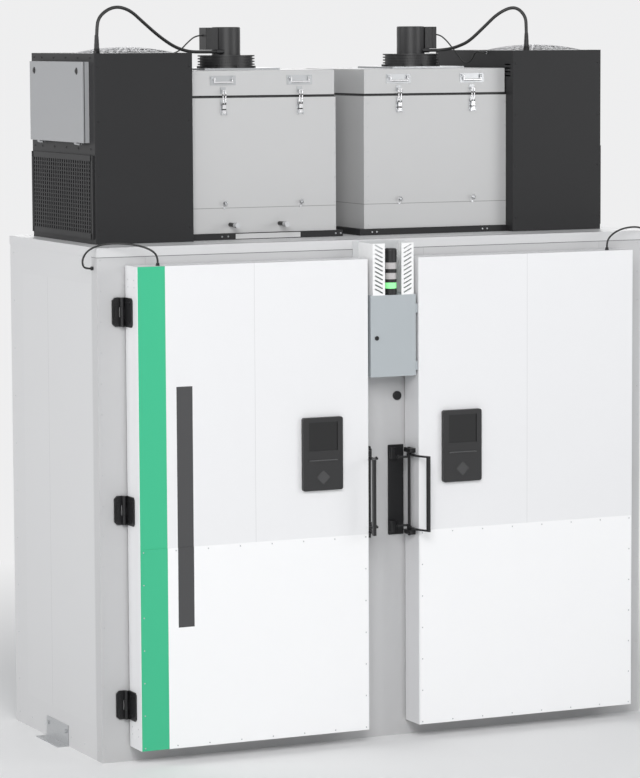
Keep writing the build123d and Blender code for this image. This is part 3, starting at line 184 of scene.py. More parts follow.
def finish(name, colour, rough, metal=0.0, peel=0.0, peel_scale=900.0, vary=0.04, grain=None,
           coat=0.0, paint=None, dust=0.0, glow=None, gloss=0.5):
    """A procedural finish read from Object coordinates."""
    material = bpy.data.materials.new(name)
    material.use_nodes = True
    tree = material.node_tree
    shader = tree.nodes["Principled BSDF"]
    place = Sock(tree, tree.nodes.new("ShaderNodeTexCoord").outputs["Object"])
    slow = place.node("ShaderNodeTexNoise", None, {
        "Vector": place, "Scale": SLOW_SCALE, "Detail": 3.0})
    fine = place.node("ShaderNodeTexNoise", None, {
        "Vector": place, "Scale": peel_scale, "Detail": 2.0})
    tone = (slow - 0.5) * vary
    light = tuple(min(1.0, c * (1 + vary) + vary * 0.1) for c in colour)
    dark = tuple(c * (1 - vary) for c in colour)
    base = (tone * TONE_GAIN + 0.5).clamp().mix(dark, light)
    if paint:
        base = paint(place, base)
    if glow:
        mask, light_colour, strength = glow
        lit = mask(place).mix((0, 0, 0), light_colour)
        tree.links.new(lit.output, shader.inputs["Emission Color"])
        shader.inputs["Emission Strength"].default_value = strength
    if dust:
        height = place.node("ShaderNodeSeparateXYZ", None, {"Vector": place}, out=2)
        low = (1 - height * DUST_FALL).clamp() * dust
        base = (low * slow).mix(base, DUST)
    tree.links.new(base.output, shader.inputs["Base Color"])
    roughness = (slow - 0.5) * ROUGH_SWING + rough
    bump_height = fine
    if grain:
        stretch = place.node("ShaderNodeMapping", None, {"Vector": place, "Scale": grain})
        lines = place.node("ShaderNodeTexNoise", None, {
            "Vector": stretch, "Scale": GRAIN_SCALE, "Detail": 4.0})
        roughness = roughness + (lines - 0.5) * GRAIN_SWING
        bump_height = lines
    tree.links.new(roughness.clamp().output, shader.inputs["Roughness"])
    shader.inputs["Metallic"].default_value = metal
    shader.inputs["Specular IOR Level"].default_value = gloss
    if coat:
        shader.inputs["Coat Weight"].default_value = coat
        shader.inputs["Coat Roughness"].default_value = COAT_ROUGH
    if peel or grain:
        bump = place.node("ShaderNodeBump", None, {
            "Height": bump_height, "Strength": peel or GRAIN_BUMP, "Distance": BUMP_DEPTH})
        tree.links.new(bump.output, shader.inputs["Normal"])
    return material


# %% [markdown]
# ## The left door's stripes
# The door carries plain painted bands in green and charcoal near its hinge side. Painted
# bands are flat, so they belong in the colour, not in the mesh: two ranges of X pick them,
# a range of Z stops the shorter one, and a limit on Y keeps both on the front face.

# %% Door paint
GREEN = (0.037, 0.491, 0.254)
CHARCOAL = (0.052, 0.052, 0.054)
door_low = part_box("door_left")[0]
DOOR_EDGE = door_low[0]
BAND_GREEN = (DOOR_EDGE + 0.0015, DOOR_EDGE + 0.120)
BAND_CHARCOAL = (DOOR_EDGE + 0.165, DOOR_EDGE + 0.235)
BAND_HEIGHT = (0.56, 1.54)
BAND_FRONT = door_low[1] + 0.0008


def part_of(place, axis):
    """One coordinate of a place: 0 for X, 1 for Y, 2 for Z."""
    return place.node("ShaderNodeSeparateXYZ", None, {"Vector": place}, out=axis)


def near(value, at, half):
    """1 within a thin line at a coordinate."""
    return value.between(at - half, at + half)


SEAM = (0.45, 0.45, 0.455)
DOOR_SEAM_X, DOOR_SEAM_HALF, DOOR_SEAM_SHARE = 0.627, 0.0009, 0.5
SHEET_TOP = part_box("kick_sheet_left")[1][2]


def door_seam(place, base):
    x = part_of(place, 0).maths("ABSOLUTE")
    line = near(x, DOOR_SEAM_X, DOOR_SEAM_HALF) * part_of(place, 2).above(SHEET_TOP)
    return (line * DOOR_SEAM_SHARE).mix(base, SEAM)


def door_bands(place, base):
    x = part_of(place, 0)
    z = part_of(place, 2)
    base = door_seam(place, base)
    front = 1 - part_of(place, 1).above(BAND_FRONT)
    painted = (x.between(*BAND_GREEN) * front).mix(base, GREEN)
    short = x.between(*BAND_CHARCOAL) * z.between(*BAND_HEIGHT) * front
    return short.mix(painted, CHARCOAL)


# %% [markdown]
# ## Seams in the cabinet's skin
# The cabinet is built of foam-filled panels, and the skin shows where one ends: short lines
# in the header, long ones in the sides and the back. A seam is a hair wide, so it's a dark
# line in the colour. The same masks darken seals, locks and glands that belong to a bigger
# part, paint shadow on the coil housings' rims under the lids and shade into the gaps of the
# latches, and light only the lowest lens of the signal mast.

# %% Seam and lens paint
HEADER_SEAMS = (-1.046, -0.108, 0.210, 1.051)
HEADER_HEIGHT = (2.030, 2.062)
SIDE_SEAMS = (-0.335, 0.170)
BACK_SEAMS = (-0.8367, 0.0, 0.8367)
PANEL_SEAM_HALF, SIDE_SEAM_HALF, SEAM_SHARE = 0.0011, 0.0010, 0.8
TRIM_JOINT, TRIM_JOINT_HALF = 2.0605, 0.0015
JOINT_SHADE = (0.20, 0.20, 0.205)


def seams(value, places, half):
    """1 on any of several thin lines."""
    lines = near(value, places[0], half)
    for at in places[1:]:
        lines = lines + near(value, at, half)
    return lines


def frame_seams(place, base):
    lines = seams(part_of(place, 0), HEADER_SEAMS, PANEL_SEAM_HALF)
    z = part_of(place, 2)
    base = (lines * z.between(*HEADER_HEIGHT)).mix(base, SEAM)
    return near(z, TRIM_JOINT, TRIM_JOINT_HALF).mix(base, JOINT_SHADE)


def side_seams(place, base):
    lines = seams(part_of(place, 1), SIDE_SEAMS, SIDE_SEAM_HALF)
    return (lines * SEAM_SHARE).mix(base, SEAM)


def back_seams(place, base):
    lines = seams(part_of(place, 0), BACK_SEAMS, PANEL_SEAM_HALF)
    return (lines * SEAM_SHARE).mix(base, SEAM)


# The top band of each coil housing is painted black: the seal's own edge, widened with painted
# shadow that the lid casts on the rim.
SEAL_AND_SHADOW_BLACK = (0.015, 0.015, 0.015)
HOUSING_SEAM, HOUSING_SEAM_HALF = 2.2315, 0.0012
HOUSING_SHADE = (0.25, 0.25, 0.25)
RIM_TALL = 0.0045
HOUSING_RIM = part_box("evaporator_housings")[1][2] - RIM_TALL


def housing_seam_and_shadow(place, base):
    """A thin joint near the foot, and at the rim a black band: the seal's edge with painted shadow
    from the lid.
    """
    z = part_of(place, 2)
    base = near(z, HOUSING_SEAM, HOUSING_SEAM_HALF).mix(base, HOUSING_SHADE)
    return z.above(HOUSING_RIM).mix(base, SEAL_AND_SHADOW_BLACK)


# Bands of painted shade where the latch's plated parts meet; LATCH_SHADE is their dark colour.
LATCH_SHADED_GAPS = ((2.664, 0.0045), (2.640, 0.0030), (2.700, 0.0030))
LATCH_SHADE = (0.09, 0.09, 0.09)


def latch_paint(place, base):
    """Painted shade in the gaps between the small plated parts of a toggle latch."""
    z = part_of(place, 2)
    for at, half in LATCH_SHADED_GAPS:
        base = near(z, at, half).mix(base, LATCH_SHADE)
    return base


STUB_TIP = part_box("roof_fittings")[0][1]
STUB_CAP = 0.026
STUB_RANGE = (2.146, 2.178)
GLAND_FOOT = 2.874
SEAL_BLACK = (0.02, 0.02, 0.02)


def stub_paint(place, base):
    """The pipe stubs are wrapped in dark foam behind their end caps, and the glands are black."""
    z = part_of(place, 2)
    wrapped = part_of(place, 1).above(STUB_TIP + STUB_CAP) * z.between(*STUB_RANGE)
    return (wrapped + z.above(GLAND_FOOT)).clamp().mix(base, SEAL_BLACK)


LOCK_AT = 2.804
LOCK_HALF = 0.0115
LOCK_PROUD = 0.0038
LOCK_BLACK = (0.01, 0.01, 0.01)
COVER_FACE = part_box("enclosure_cover_right")[1][0] - LOCK_PROUD
TUB_SEAM, TUB_SEAM_HALF = 1.1962, 0.0018


def cover_paint(place, base):
    """The two locks stand out of the cover, and they're black."""
    proud = part_of(place, 0).maths("ABSOLUTE").above(COVER_FACE)
    return (proud * near(part_of(place, 2), LOCK_AT, LOCK_HALF)).mix(base, LOCK_BLACK)


def tub_paint(place, base):
    """A dark seal shows between the enclosure and its cover."""
    seal = near(part_of(place, 0).maths("ABSOLUTE"), TUB_SEAM, TUB_SEAM_HALF)
    return seal.mix(base, SEAL_BLACK)


BOX_RIM = 0.002
BOX_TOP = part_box("control_box_door")[1][2] + BOX_RIM
BACK_SHEET = (0.60, 0.61, 0.615)


def box_paint(place, base):
    """The back sheet above the control box has the cabinet's colour."""
    return part_of(place, 2).above(BOX_TOP).mix(base, BACK_SHEET)


SCREEN_COLOUR = (0.006, 0.0062, 0.0066)


def screen_paint(node, side_margin, bottom_share, top_share):
    """A painter for one panel: the sunk screen is darker than its frame."""
    low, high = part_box(node)
    tall = high[2] - low[2]

    def painter(place, base):
        across = part_of(place, 0).between(low[0] + side_margin, high[0] - side_margin)
        upright = part_of(place, 2).between(low[2] + bottom_share * tall, low[2] + top_share * tall)
        return (across * upright).mix(base, SCREEN_COLOUR)
    return painter


LENS_TALL = 0.028
LIT_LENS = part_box("signal_lenses")[0][2] + LENS_TALL
LENS_GREEN = (0.30, 0.95, 0.36)


def lit_lens(place):
    return 1 - part_of(place, 2).above(LIT_LENS)


def lens_paint(place, base):
    return lit_lens(place).mix(base, LENS_GREEN)


# %% [markdown]
# ## One finish for each material
# The frame names a material for every rigid part, and the first table turns each name into
# a finish. Parts with painted details take a coat of their own from the other two tables.

# %% The finishes themselves
WHITE_DOOR = (0.83, 0.83, 0.84)
WHITE_SHEET = (0.93, 0.93, 0.935)
HOUSING_GREY = (0.555, 0.555, 0.555)
FINISH = {
    "cabinet_skin": finish("cabinet coat", (0.66, 0.66, 0.665), 0.42, peel=0.10, vary=0.02,
                           dust=0.12),
    "door_skin": finish("door coat", WHITE_DOOR, 0.36, peel=0.08, vary=0.015, coat=0.15,
                        paint=door_seam),
    "kick_skin": finish("lower sheet coat", WHITE_SHEET, 0.33, peel=0.06, vary=0.012, coat=0.2),
    "gasket": finish("gasket rubber", (0.022, 0.022, 0.024), 0.62, peel=0.2, peel_scale=500),
    "black_metal": finish("black coat", (0.010, 0.010, 0.011), 0.36, peel=0.25,
                          peel_scale=1400, gloss=0.4),
    "black_plastic": finish("black moulding", (0.010, 0.010, 0.011), 0.40, peel=0.18,
                            peel_scale=2200, gloss=0.4),
    "grey_box": finish("blue-grey coat", (0.42, 0.455, 0.475), 0.40, peel=0.12, paint=box_paint),
    "chrome_trim": finish("bright plating", (0.80, 0.80, 0.81), 0.16, metal=1.0, vary=0.03),
    "lens": finish("lens plastic", (0.52, 0.50, 0.50), 0.22, vary=0.02, coat=0.4, paint=lens_paint,
                   glow=(lit_lens, LENS_GREEN, 0.35)),
    "white_sheet": finish("white guard coat", (0.90, 0.90, 0.90), 0.35, peel=0.06),
    "stainless": finish("brushed steel", (0.56, 0.57, 0.58), 0.30, metal=1.0,
                        grain=(2.0, 2.0, 60.0)),
    "charcoal_sheet": finish("charcoal coat", (0.021, 0.021, 0.022), 0.46, peel=0.22,
                             peel_scale=1100, gloss=0.2),
    "coil_fins": finish("fin aluminium", (0.50, 0.51, 0.52), 0.35, metal=1.0,
                        grain=(1.0, 1.0, 30.0)),
    "guard_metal": finish("guard wire", (0.50, 0.50, 0.51), 0.42, metal=0.55),
    "fan_plastic": finish("fan moulding", (0.018, 0.018, 0.02), 0.45, peel=0.15),
    "enclosure_grey": finish("enclosure coat", (0.37, 0.375, 0.385), 0.42, peel=0.14),
    "housing_grey": finish("coil lid coat", HOUSING_GREY, 0.40, peel=0.10, vary=0.02),
    "rail_black": finish("black strip", (0.014, 0.014, 0.015), 0.52, peel=0.2, gloss=0.3),
    "motor_black": finish("motor case", (0.014, 0.014, 0.015), 0.42, peel=0.3, peel_scale=1500),
    "wheel_metal": finish("wheel aluminium", (0.55, 0.56, 0.57), 0.32, metal=1.0),
    "cable_black": finish("cable jacket", (0.012, 0.012, 0.012), 0.48, peel=0.1),
}
COATED = {"peel": 0.10, "vary": 0.02, "dust": 0.12}
ENCLOSURE = (0.355, 0.36, 0.37)
COATS = {
    "door_left": finish("left door coat", WHITE_DOOR, 0.36, peel=0.08, vary=0.015, coat=0.15,
                        paint=door_bands),
    "kick_sheet_left": finish("left lower sheet coat", WHITE_SHEET, 0.33, peel=0.06, vary=0.012,
                              coat=0.2, paint=door_bands),
    # The front frame wears the cabinet's coat; its colour is set darker than the sides' as painted
    # shade from the doors.
    "front_frame": finish("shaded frame coat", (0.55, 0.55, 0.555), 0.42, paint=frame_seams, **COATED),
    "side_panels": finish("side coat", (0.67, 0.67, 0.675), 0.42, paint=side_seams, **COATED),
    "back_panel": finish("back coat", (0.66, 0.66, 0.665), 0.42, paint=back_seams, **COATED),
    "enclosures": finish("tub coat", ENCLOSURE, 0.42, peel=0.14, paint=tub_paint),
    "evaporator_housings": finish("coil box coat", HOUSING_GREY, 0.40, peel=0.10, vary=0.02,
                                  paint=housing_seam_and_shadow),
    "roof_fittings": finish("fitting steel", (0.56, 0.57, 0.58), 0.30, metal=1.0,
                            grain=(2.0, 2.0, 60.0), paint=stub_paint),
    "control_lock": FINISH["black_metal"],
}
PAIR_COATS = {
    "enclosure_cover_": finish("cover coat", ENCLOSURE, 0.42, peel=0.14, paint=cover_paint),
    "lid_fittings_": finish("lid plate steel", (0.43, 0.44, 0.45), 0.34, metal=1.0,
                            grain=(2.0, 40.0, 2.0)),
    "latches_": finish("latch plating", (0.80, 0.80, 0.81), 0.18, metal=1.0, vary=0.03,
                       paint=latch_paint),
}
for side in SIDES:
    COATS.update({start + side: material for start, material in PAIR_COATS.items()})
    panel = "control_panel_" + side
    COATS[panel] = finish(side + " panel moulding", (0.018, 0.018, 0.019), 0.36, peel=0.18,
                          peel_scale=2200, gloss=0.45,
                          paint=screen_paint(panel, 0.025, 0.545, 0.934))


def put(obj, material):
    obj.data.materials.clear()
    obj.data.materials.append(material)


slots = {part["node"]: part["material_slot"] for part in frame["record"]["subparts"]}
for node_name, obj in NODES.items():
    put(obj, COATS.get(node_name, FINISH[slots[node_name]]))
print(len(bpy.data.materials), "finishes")

# %% [markdown]
# ## Small pieces that repeat
# Screws, ribs and wires come in rows, and nobody places a hundred screws by hand. A
# Geometry Nodes tree holds the shape once and copies it to every point of a simple mesh.
# Its sizes are named inputs, so one tree serves rows of different screws.


# %% Geometry Nodes helper
class Tree:
    """A geometry tree with named inputs, built node by node."""

    def __init__(self, name, sizes):
        self.group = bpy.data.node_groups.new(name, "GeometryNodeTree")
        face = self.group.interface
        face.new_socket("Points", in_out="INPUT", socket_type="NodeSocketGeometry")
        self.keys = {}
        for size, kind in sizes.items():
            made = face.new_socket(size, in_out="INPUT", socket_type="NodeSocket" + kind)
            self.keys[size] = made.identifier
        face.new_socket("Mesh", in_out="OUTPUT", socket_type="NodeSocketGeometry")
        self.start = self.group.nodes.new("NodeGroupInput")
        self.end = self.group.nodes.new("NodeGroupOutput")

    def size(self, name):
        return self.start.outputs[name]

    def node(self, kind, settings=None, inputs=None):
        made = self.group.nodes.new(kind)
        for key, value in (settings or {}).items():
            setattr(made, key, value)
        for key, value in (inputs or {}).items():
            socket = made.inputs[key]
            for item in value if isinstance(value, list) else [value]:
                if isinstance(item, bpy.types.NodeSocket):
                    self.group.links.new(item, socket)
                else:
                    socket.default_value = item
        return made

    def maths(self, operation, first, second):
        made = self.node("ShaderNodeMath", {"operation": operation}, {0: first, 1: second})
        return made.outputs[0]

    def vector(self, x=0.0, y=0.0, z=0.0):
        return self.node("ShaderNodeCombineXYZ", None, {"X": x, "Y": y, "Z": z}).outputs[0]

    def join(self, *shapes):
        return self.node("GeometryNodeJoinGeometry", None, {"Geometry": list(shapes)}).outputs[0]

    def finish(self, shape, material, turn=None):
        """Copies the shape to every point, as real mesh in one material."""
        inputs = {"Points": self.size("Points"), "Instance": shape}
        if turn:
            inputs["Rotation"] = turn
        copies = self.node("GeometryNodeInstanceOnPoints", None, inputs)
        real = self.node("GeometryNodeRealizeInstances", None, {"Geometry": copies.outputs[0]})
        painted = self.node("GeometryNodeSetMaterial", None, {"Geometry": real.outputs[0]})
        painted.inputs["Material"].default_value = material
        self.group.links.new(painted.outputs[0], self.end.inputs["Mesh"])
        return self


def grow(name, tree, points, sizes, body):
    """Runs a tree on a mesh of points and keeps the result as a plain mesh riding on a body."""
    seed = bpy.data.meshes.new(name + "_points")
    seed.from_pydata([tuple(p) for p in points], [], [])
    host = bpy.data.objects.new(name + "_host", seed)
    bpy.context.scene.collection.objects.link(host)
    modifier = host.modifiers.new("grow", "NODES")
    modifier.node_group = tree.group
    for size, value in sizes.items():
        modifier[tree.keys[size]] = value
    bpy.context.view_layer.update()
    grown = host.evaluated_get(bpy.context.evaluated_depsgraph_get())
    shape = bpy.data.meshes.new_from_object(grown)
    bpy.data.objects.remove(host)
    outward = bmesh.new()
    outward.from_mesh(shape)
    bmesh.ops.recalc_face_normals(outward, faces=outward.faces)
    outward.to_mesh(shape)
    outward.free()
    piece = bpy.data.objects.new(name, shape)
    bpy.context.scene.collection.objects.link(piece)
    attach(piece, body)
    return piece


HEAD_SIDES = 16
CROWN_SHARE, SOCKET_SHARE, SUNK_SHARE = 0.55, 0.40, 0.5
WELD = 0.00001


def screw_tree(name, material):
    """A low bevelled head with a round recess, turned to face along a chosen direction."""
    tree = Tree(name, {"Radius": "Float", "Height": "Float", "Facing": "Rotation"})
    radius, height = tree.size("Radius"), tree.size("Height")
    crown = tree.maths("MULTIPLY", radius, CROWN_SHARE)
    socket = tree.maths("MULTIPLY", radius, SOCKET_SHARE)
    sunk = tree.maths("MULTIPLY", height, SUNK_SHARE)
    ring = {"Vertices": HEAD_SIDES, "Side Segments": 1, "Radius Top": crown}
    rim = tree.node("GeometryNodeMeshCone", {"fill_type": "NONE"}, {
        **ring, "Radius Bottom": radius, "Depth": height})
    recess = tree.node("GeometryNodeMeshCone", {"fill_type": "NONE"}, {
        **ring, "Radius Bottom": socket, "Depth": sunk})
    floor = tree.node("GeometryNodeMeshCircle", {"fill_type": "NGON"}, {
        "Vertices": HEAD_SIDES, "Radius": socket})
    foot = tree.node("GeometryNodeMeshCircle", {"fill_type": "NGON"}, {
        "Vertices": HEAD_SIDES, "Radius": radius})
    inner = tree.node("GeometryNodeTransform", None, {
        "Geometry": tree.join(recess.outputs["Mesh"], floor.outputs[0]),
        "Translation": tree.vector(z=sunk)})
    head = tree.node("GeometryNodeMergeByDistance", None, {
        "Geometry": tree.join(rim.outputs["Mesh"], inner.outputs[0], foot.outputs[0]),
        "Distance": WELD})
    return tree.finish(head.outputs[0], material, tree.size("Facing"))


FRONT = (math.pi / 2, 0.0, 0.0)
LEFT = (0.0, -math.pi / 2, 0.0)
RIGHT = (0.0, math.pi / 2, 0.0)
BACK = (-math.pi / 2, 0.0, 0.0)
BRIGHT_SCREW = screw_tree("bright screw", FINISH["stainless"])
DARK = {"tree": screw_tree("dark screw", FINISH["black_metal"]), "slot": "black_metal"}


def screws(name, points, head, facing, body, tree=BRIGHT_SCREW, slot="stainless"):
    """Screws on a body, all facing one way. A head is its radius and its height."""
    sizes = {"Radius": head[0], "Height": head[1], "Facing": facing}
    return grow(name, tree, points, sizes, body)


def row(start, end, pitch):
    """Points evenly spaced between two ends, at about the given pitch."""
    start, end = Vector(start), Vector(end)
    count = max(1, round((end - start).length / pitch))
    return [start.lerp(end, i / count) for i in range(count + 1)]


SAME_SPOT = 0.004


def clean(points):
    """Each corner once, when two rows meet there."""
    kept = []
    for point in points:
        if all((point - other).length > SAME_SPOT for other in kept):
            kept.append(point)
    return kept


# %% [markdown]
# ## Screws
# The lower sheets are screwed to the doors all round, and the cabinet's corner trim along
# both front corners. Each row is a line of points just on the surface that it fastens, so
# that the heads stand proud of it by their own height.

# %% Screws of the lower sheets and corner trim
SHEET_HEAD = (0.0032, 0.0016)
SHEET_MARGIN = 0.011
SHEET_ACROSS, SHEET_UP = 0.143, 0.133
for side in SIDES:
    low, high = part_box("kick_sheet_" + side)
    x0, x1 = low[0] + SHEET_MARGIN, high[0] - SHEET_MARGIN
    z0, z1 = low[2] + SHEET_MARGIN, high[2] - SHEET_MARGIN
    front = low[1] + HAIR
    points = []
    for z in (z1, z0):
        points += row((x0, front, z), (x1, front, z), SHEET_ACROSS)
    for x in (x0, x1):
        points += row((x, front, z0), (x, front, z1), SHEET_UP)
    piece = screws("sheet_screws_" + side, clean(points), SHEET_HEAD, FRONT, "door_" + side)
    print(piece.name, len(piece.data.polygons), "faces")

TRIM_HEAD = (0.0028, 0.0014)
TRIM_IN, TRIM_UP, TRIM_DOWN, TRIM_PITCH = 0.014, 0.06, 0.05, 0.122
low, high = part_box("front_frame")
front = low[1] + HAIR
points = []
for x in (low[0] + TRIM_IN, high[0] - TRIM_IN):
    points += row((x, front, low[2] + TRIM_UP), (x, front, high[2] - TRIM_DOWN), TRIM_PITCH)
screws("corner_screws", points, TRIM_HEAD, FRONT, "cabinet")

# %% [markdown]
# ## Screws of the roof units
# The dark units are boxes of folded sheet. A screw shows every few hand widths along each
# vertical edge, and a pair holds each end of the black strips on the roof.

# %% Screws of the roof units
UNIT_HEAD = (0.0034, 0.0018)
UNIT_INNER, UNIT_IN = 0.760, 0.016
UNIT_FOOT, UNIT_TOP = 2.16, 2.82
FRONT_PITCH, REAR_PITCH = 0.22, 0.165
unit_low, unit_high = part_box("unit_housings")


def unit_edges(sign, y, pitch):
    """Two upright rows, one near each edge of a roof unit's front or back."""
    points = []
    for x in (UNIT_INNER, unit_high[0] - UNIT_IN):
        points += row((sign * x, y, UNIT_FOOT), (sign * x, y, UNIT_TOP), pitch)
    return points


for side, sign in SIGNED_SIDES:
    points = unit_edges(sign, unit_low[1] - HAIR, FRONT_PITCH)
    screws("unit_screws_" + side, points, UNIT_HEAD, FRONT, "cabinet", **DARK)

RAIL_HEAD = (0.0042, 0.0022)
RAIL_Z = 2.1135
RAIL_X = (-0.595, -0.567, -0.073, -0.050, 0.098, 0.120, 0.625, 0.647)
rail_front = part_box("housing_rails")[0][1] + HAIR
points = [Vector((x, rail_front, RAIL_Z)) for x in RAIL_X]
screws("rail_screws", points, RAIL_HEAD, FRONT, "cabinet")

# %% [markdown]
# ## Marks on the operator panels
# Below its screen each panel has a row of small raised marks, and a patch of them where its
# sounder sits. Both are the same small dot at other points, so the screw tree serves again
# with a grey finish. The row zigzags, and the patch is a diamond of level rows.

# %% Panel marks
MARK_GREY = finish("mark grey", (0.27, 0.27, 0.275), 0.5, peel=0.1)
MARK = {"tree": screw_tree("panel mark", MARK_GREY), "slot": "black_plastic"}
ROW_HEAD, PATCH_HEAD = (0.0019, 0.0008), (0.0021, 0.0009)
ROW_COUNT, ROW_DROP, ROW_PITCH, ROW_LIFT = 17, 0.026, 0.0075, 0.0011
PATCH_DROP, PATCH_ROWS, PATCH_X, PATCH_Z = 0.096, 4, 0.012, 0.006
RIDGE_RISE = 0.0025  # the patch lies on a raised field of the panel
for side in SIDES:
    low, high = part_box("control_panel_" + side)
    middle, centre, front = (low[0] + high[0]) / 2, (low[2] + high[2]) / 2, low[1] + HAIR
    zigzag = []
    for index in range(ROW_COUNT):
        x = middle + ROW_PITCH * (index - ROW_COUNT // 2)
        lift = ROW_LIFT if index % 2 else -ROW_LIFT
        zigzag.append(Vector((x, front, centre - ROW_DROP + lift)))
    patch = []
    for line in range(-PATCH_ROWS, PATCH_ROWS + 1):
        count = PATCH_ROWS + 1 - abs(line)
        z = centre - PATCH_DROP + line * PATCH_Z
        for place in range(count):
            x = middle + (place - (count - 1) / 2) * PATCH_X
            patch.append(Vector((x, front + RIDGE_RISE, z)))
    screws("panel_row_" + side, zigzag, ROW_HEAD, FRONT, "door_" + side, **MARK)
    screws("panel_patch_" + side, patch, PATCH_HEAD, FRONT, "door_" + side, **MARK)
    print("panel", side, len(zigzag) + len(patch), "marks")

# %% [markdown]
# ## Ribs, pads and fins
# The hinges are black castings with raised ribs and a pad beside the pin, and the motors'
# terminal boxes have level fins. Each of them is a small block, so this tree copies one
# block, and its three sizes are inputs.


# %% Hinge ribs and terminal fins
def rib_tree(name, material):
    tree = Tree(name, {"Width": "Float", "Depth": "Float", "Height": "Float"})
    size = tree.vector(tree.size("Width"), tree.size("Depth"), tree.size("Height"))
    block = tree.node("GeometryNodeMeshCube", None, {"Size": size})
    return tree.finish(block.outputs[0], material)


HINGE_Z = (0.236, 1.035, 1.840)
HINGE_AXIS = 1.154
LEAF_FACE = 0.009
RIB_X, PAD_X = (0.0135, 0.0365), 0.0250
RIB = {"Width": 0.0024, "Depth": 0.007, "Height": 0.082}
PAD = {"Width": 0.0130, "Depth": 0.004, "Height": 0.052}


def on_leaves(inset):
    """Points on the six frame leaves, at a distance from the hinge axis."""
    y = -CENTRE_Y - LEAF_FACE
    return [Vector((sign * (HINGE_AXIS + inset), y, z)) for sign in (-1, 1) for z in HINGE_Z]


HINGE_RIB = rib_tree("hinge rib", FINISH["black_metal"])
ribs = on_leaves(RIB_X[0]) + on_leaves(RIB_X[1])
grow("hinge_ribs", HINGE_RIB, ribs, RIB, "cabinet")
grow("hinge_pads", HINGE_RIB, on_leaves(PAD_X), PAD, "cabinet")
print("hinges:", len(HINGE_Z) * 2, "with ribs")

FIN_TREE = rib_tree("terminal fin", FINISH["motor_black"])
FIN = {"Width": 0.019, "Depth": 0.006, "Height": 0.0045}
FIN_X, FIN_Y = 0.5325, 0.1365
FIN_DROP, FIN_PITCH, FIN_COUNT = 0.010, 0.0125, 7
for side, sign in SIGNED_SIDES:
    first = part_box("fan_motor_" + side)[1][2] - FIN_DROP
    fins = [Vector((sign * FIN_X, FIN_Y, first - FIN_PITCH * k)) for k in range(FIN_COUNT)]
    grow("terminal_fins_" + side, FIN_TREE, fins, FIN, "lid_" + side)

# %% [markdown]
# ## Screws and lock rings of the unit sides
# The outer side of each roof unit has a row of larger screws above and below its cover, and
# a black ring round each of the cover's two locks.

# %% Unit side screws
UNIT_SIDE_HEAD, LOCK_RING = (0.0055, 0.0022), (0.0150, 0.0030)
UNIT_SIDE_Z = (2.487, 2.858)
UNIT_SIDE_Y = (-0.145, -0.005, 0.135, 0.275, 0.415, 0.505)
LOCK_Y = (0.332, 0.827)
GRILLE_DEPTH = 0.008
unit_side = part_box("intake_grilles")[1][0] - GRILLE_DEPTH + HAIR
for sign, side, facing in ((-1, "left", LEFT), (1, "right", RIGHT)):
    points = [Vector((sign * unit_side, y, z)) for z in UNIT_SIDE_Z for y in UNIT_SIDE_Y]
    screws("unit_side_screws_" + side, points, UNIT_SIDE_HEAD, facing, "cabinet", **DARK)
    rings = [Vector((sign * (COVER_FACE - HAIR), y - CENTRE_Y, LOCK_AT)) for y in LOCK_Y]
    screws("cover_lock_rings_" + side, rings, LOCK_RING, facing, "cover_" + side, **DARK)

# %% [markdown]
# ## Lugs and door edges
# A bright round lug sits low on the coil housing below each latch, and four pairs of small
# screws close the sheet at the hinge edge of each door.

# %% Lugs and edge screws
LUG_HEAD, EDGE_HEAD = (0.0095, 0.006), (0.0030, 0.0012)
LUG_Z, LUG_IN = 2.252, 0.013
EDGE_DROPS = (0.055, 0.085)
EDGE_DEPTHS = (0.035, 0.100)
coil_low, coil_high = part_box("evaporator_housings")
for side in SIDES:
    low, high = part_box("latches_" + side)
    lugs = [Vector((x, coil_low[1] - HAIR, LUG_Z)) for x in (low[0] + LUG_IN, high[0] - LUG_IN)]
    screws("lugs_" + side, lugs, LUG_HEAD, FRONT, "cabinet")
    low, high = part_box("door_" + side)
    edge, facing = (low[0] - HAIR, LEFT) if side == "left" else (high[0] + HAIR, RIGHT)
    heights = [high[2] - drop for drop in EDGE_DROPS] + [low[2] + drop for drop in EDGE_DROPS]
    pairs = [Vector((edge, low[1] + depth, z)) for z in heights for depth in EDGE_DEPTHS]
    screws("door_edge_screws_" + side, pairs, EDGE_HEAD, facing, "door_" + side)

# %% [markdown]
# ## The sides and the back
# The big panels are held by screws along their edges, and the coil housings along their
# corners. The same tree serves again, with the heads turned to face left, right or back.

# %% Screws of the sides and the back
PANEL_HEAD, HOUSING_HEAD = (0.0032, 0.0016), (0.0024, 0.0010)
SIDE_IN, SIDE_ACROSS, SIDE_UP = 0.045, 0.155, 0.205
SIDE_FROM, SIDE_TO = 0.19, 2.03
BACK_IN, BACK_ACROSS, BACK_UP = 0.04, 0.205, 0.19
BACK_FROM, BACK_TO, BESIDE_SEAM = 0.19, 1.90, 0.03
panel_low, panel_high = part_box("side_panels")
back_low, back_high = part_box("back_panel")
first_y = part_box("front_frame")[0][1] + SIDE_IN
last_y = back_high[1] - SIDE_IN
left, right = panel_low[0] - HAIR, panel_high[0] + HAIR
for side, x, facing in (("left", left, LEFT), ("right", right, RIGHT)):
    points = row((x, first_y, SIDE_IN), (x, last_y, SIDE_IN), SIDE_ACROSS)
    points += row((x, last_y, SIDE_FROM), (x, last_y, SIDE_TO), SIDE_UP)
    screws("side_screws_" + side, points, PANEL_HEAD, facing, "cabinet")
y = back_high[1] + HAIR
edges = (back_low[0] + BACK_IN, back_high[0] - BACK_IN)
points = row((edges[0], y, BACK_FROM), (edges[1], y, BACK_FROM), BACK_ACROSS)
for x in (edges[0], *(seam + BESIDE_SEAM for seam in BACK_SEAMS), edges[1]):
    points += row((x, y, BACK_FROM), (x, y, BACK_TO), BACK_UP)
screws("back_screws", clean(points), PANEL_HEAD, BACK, "cabinet")

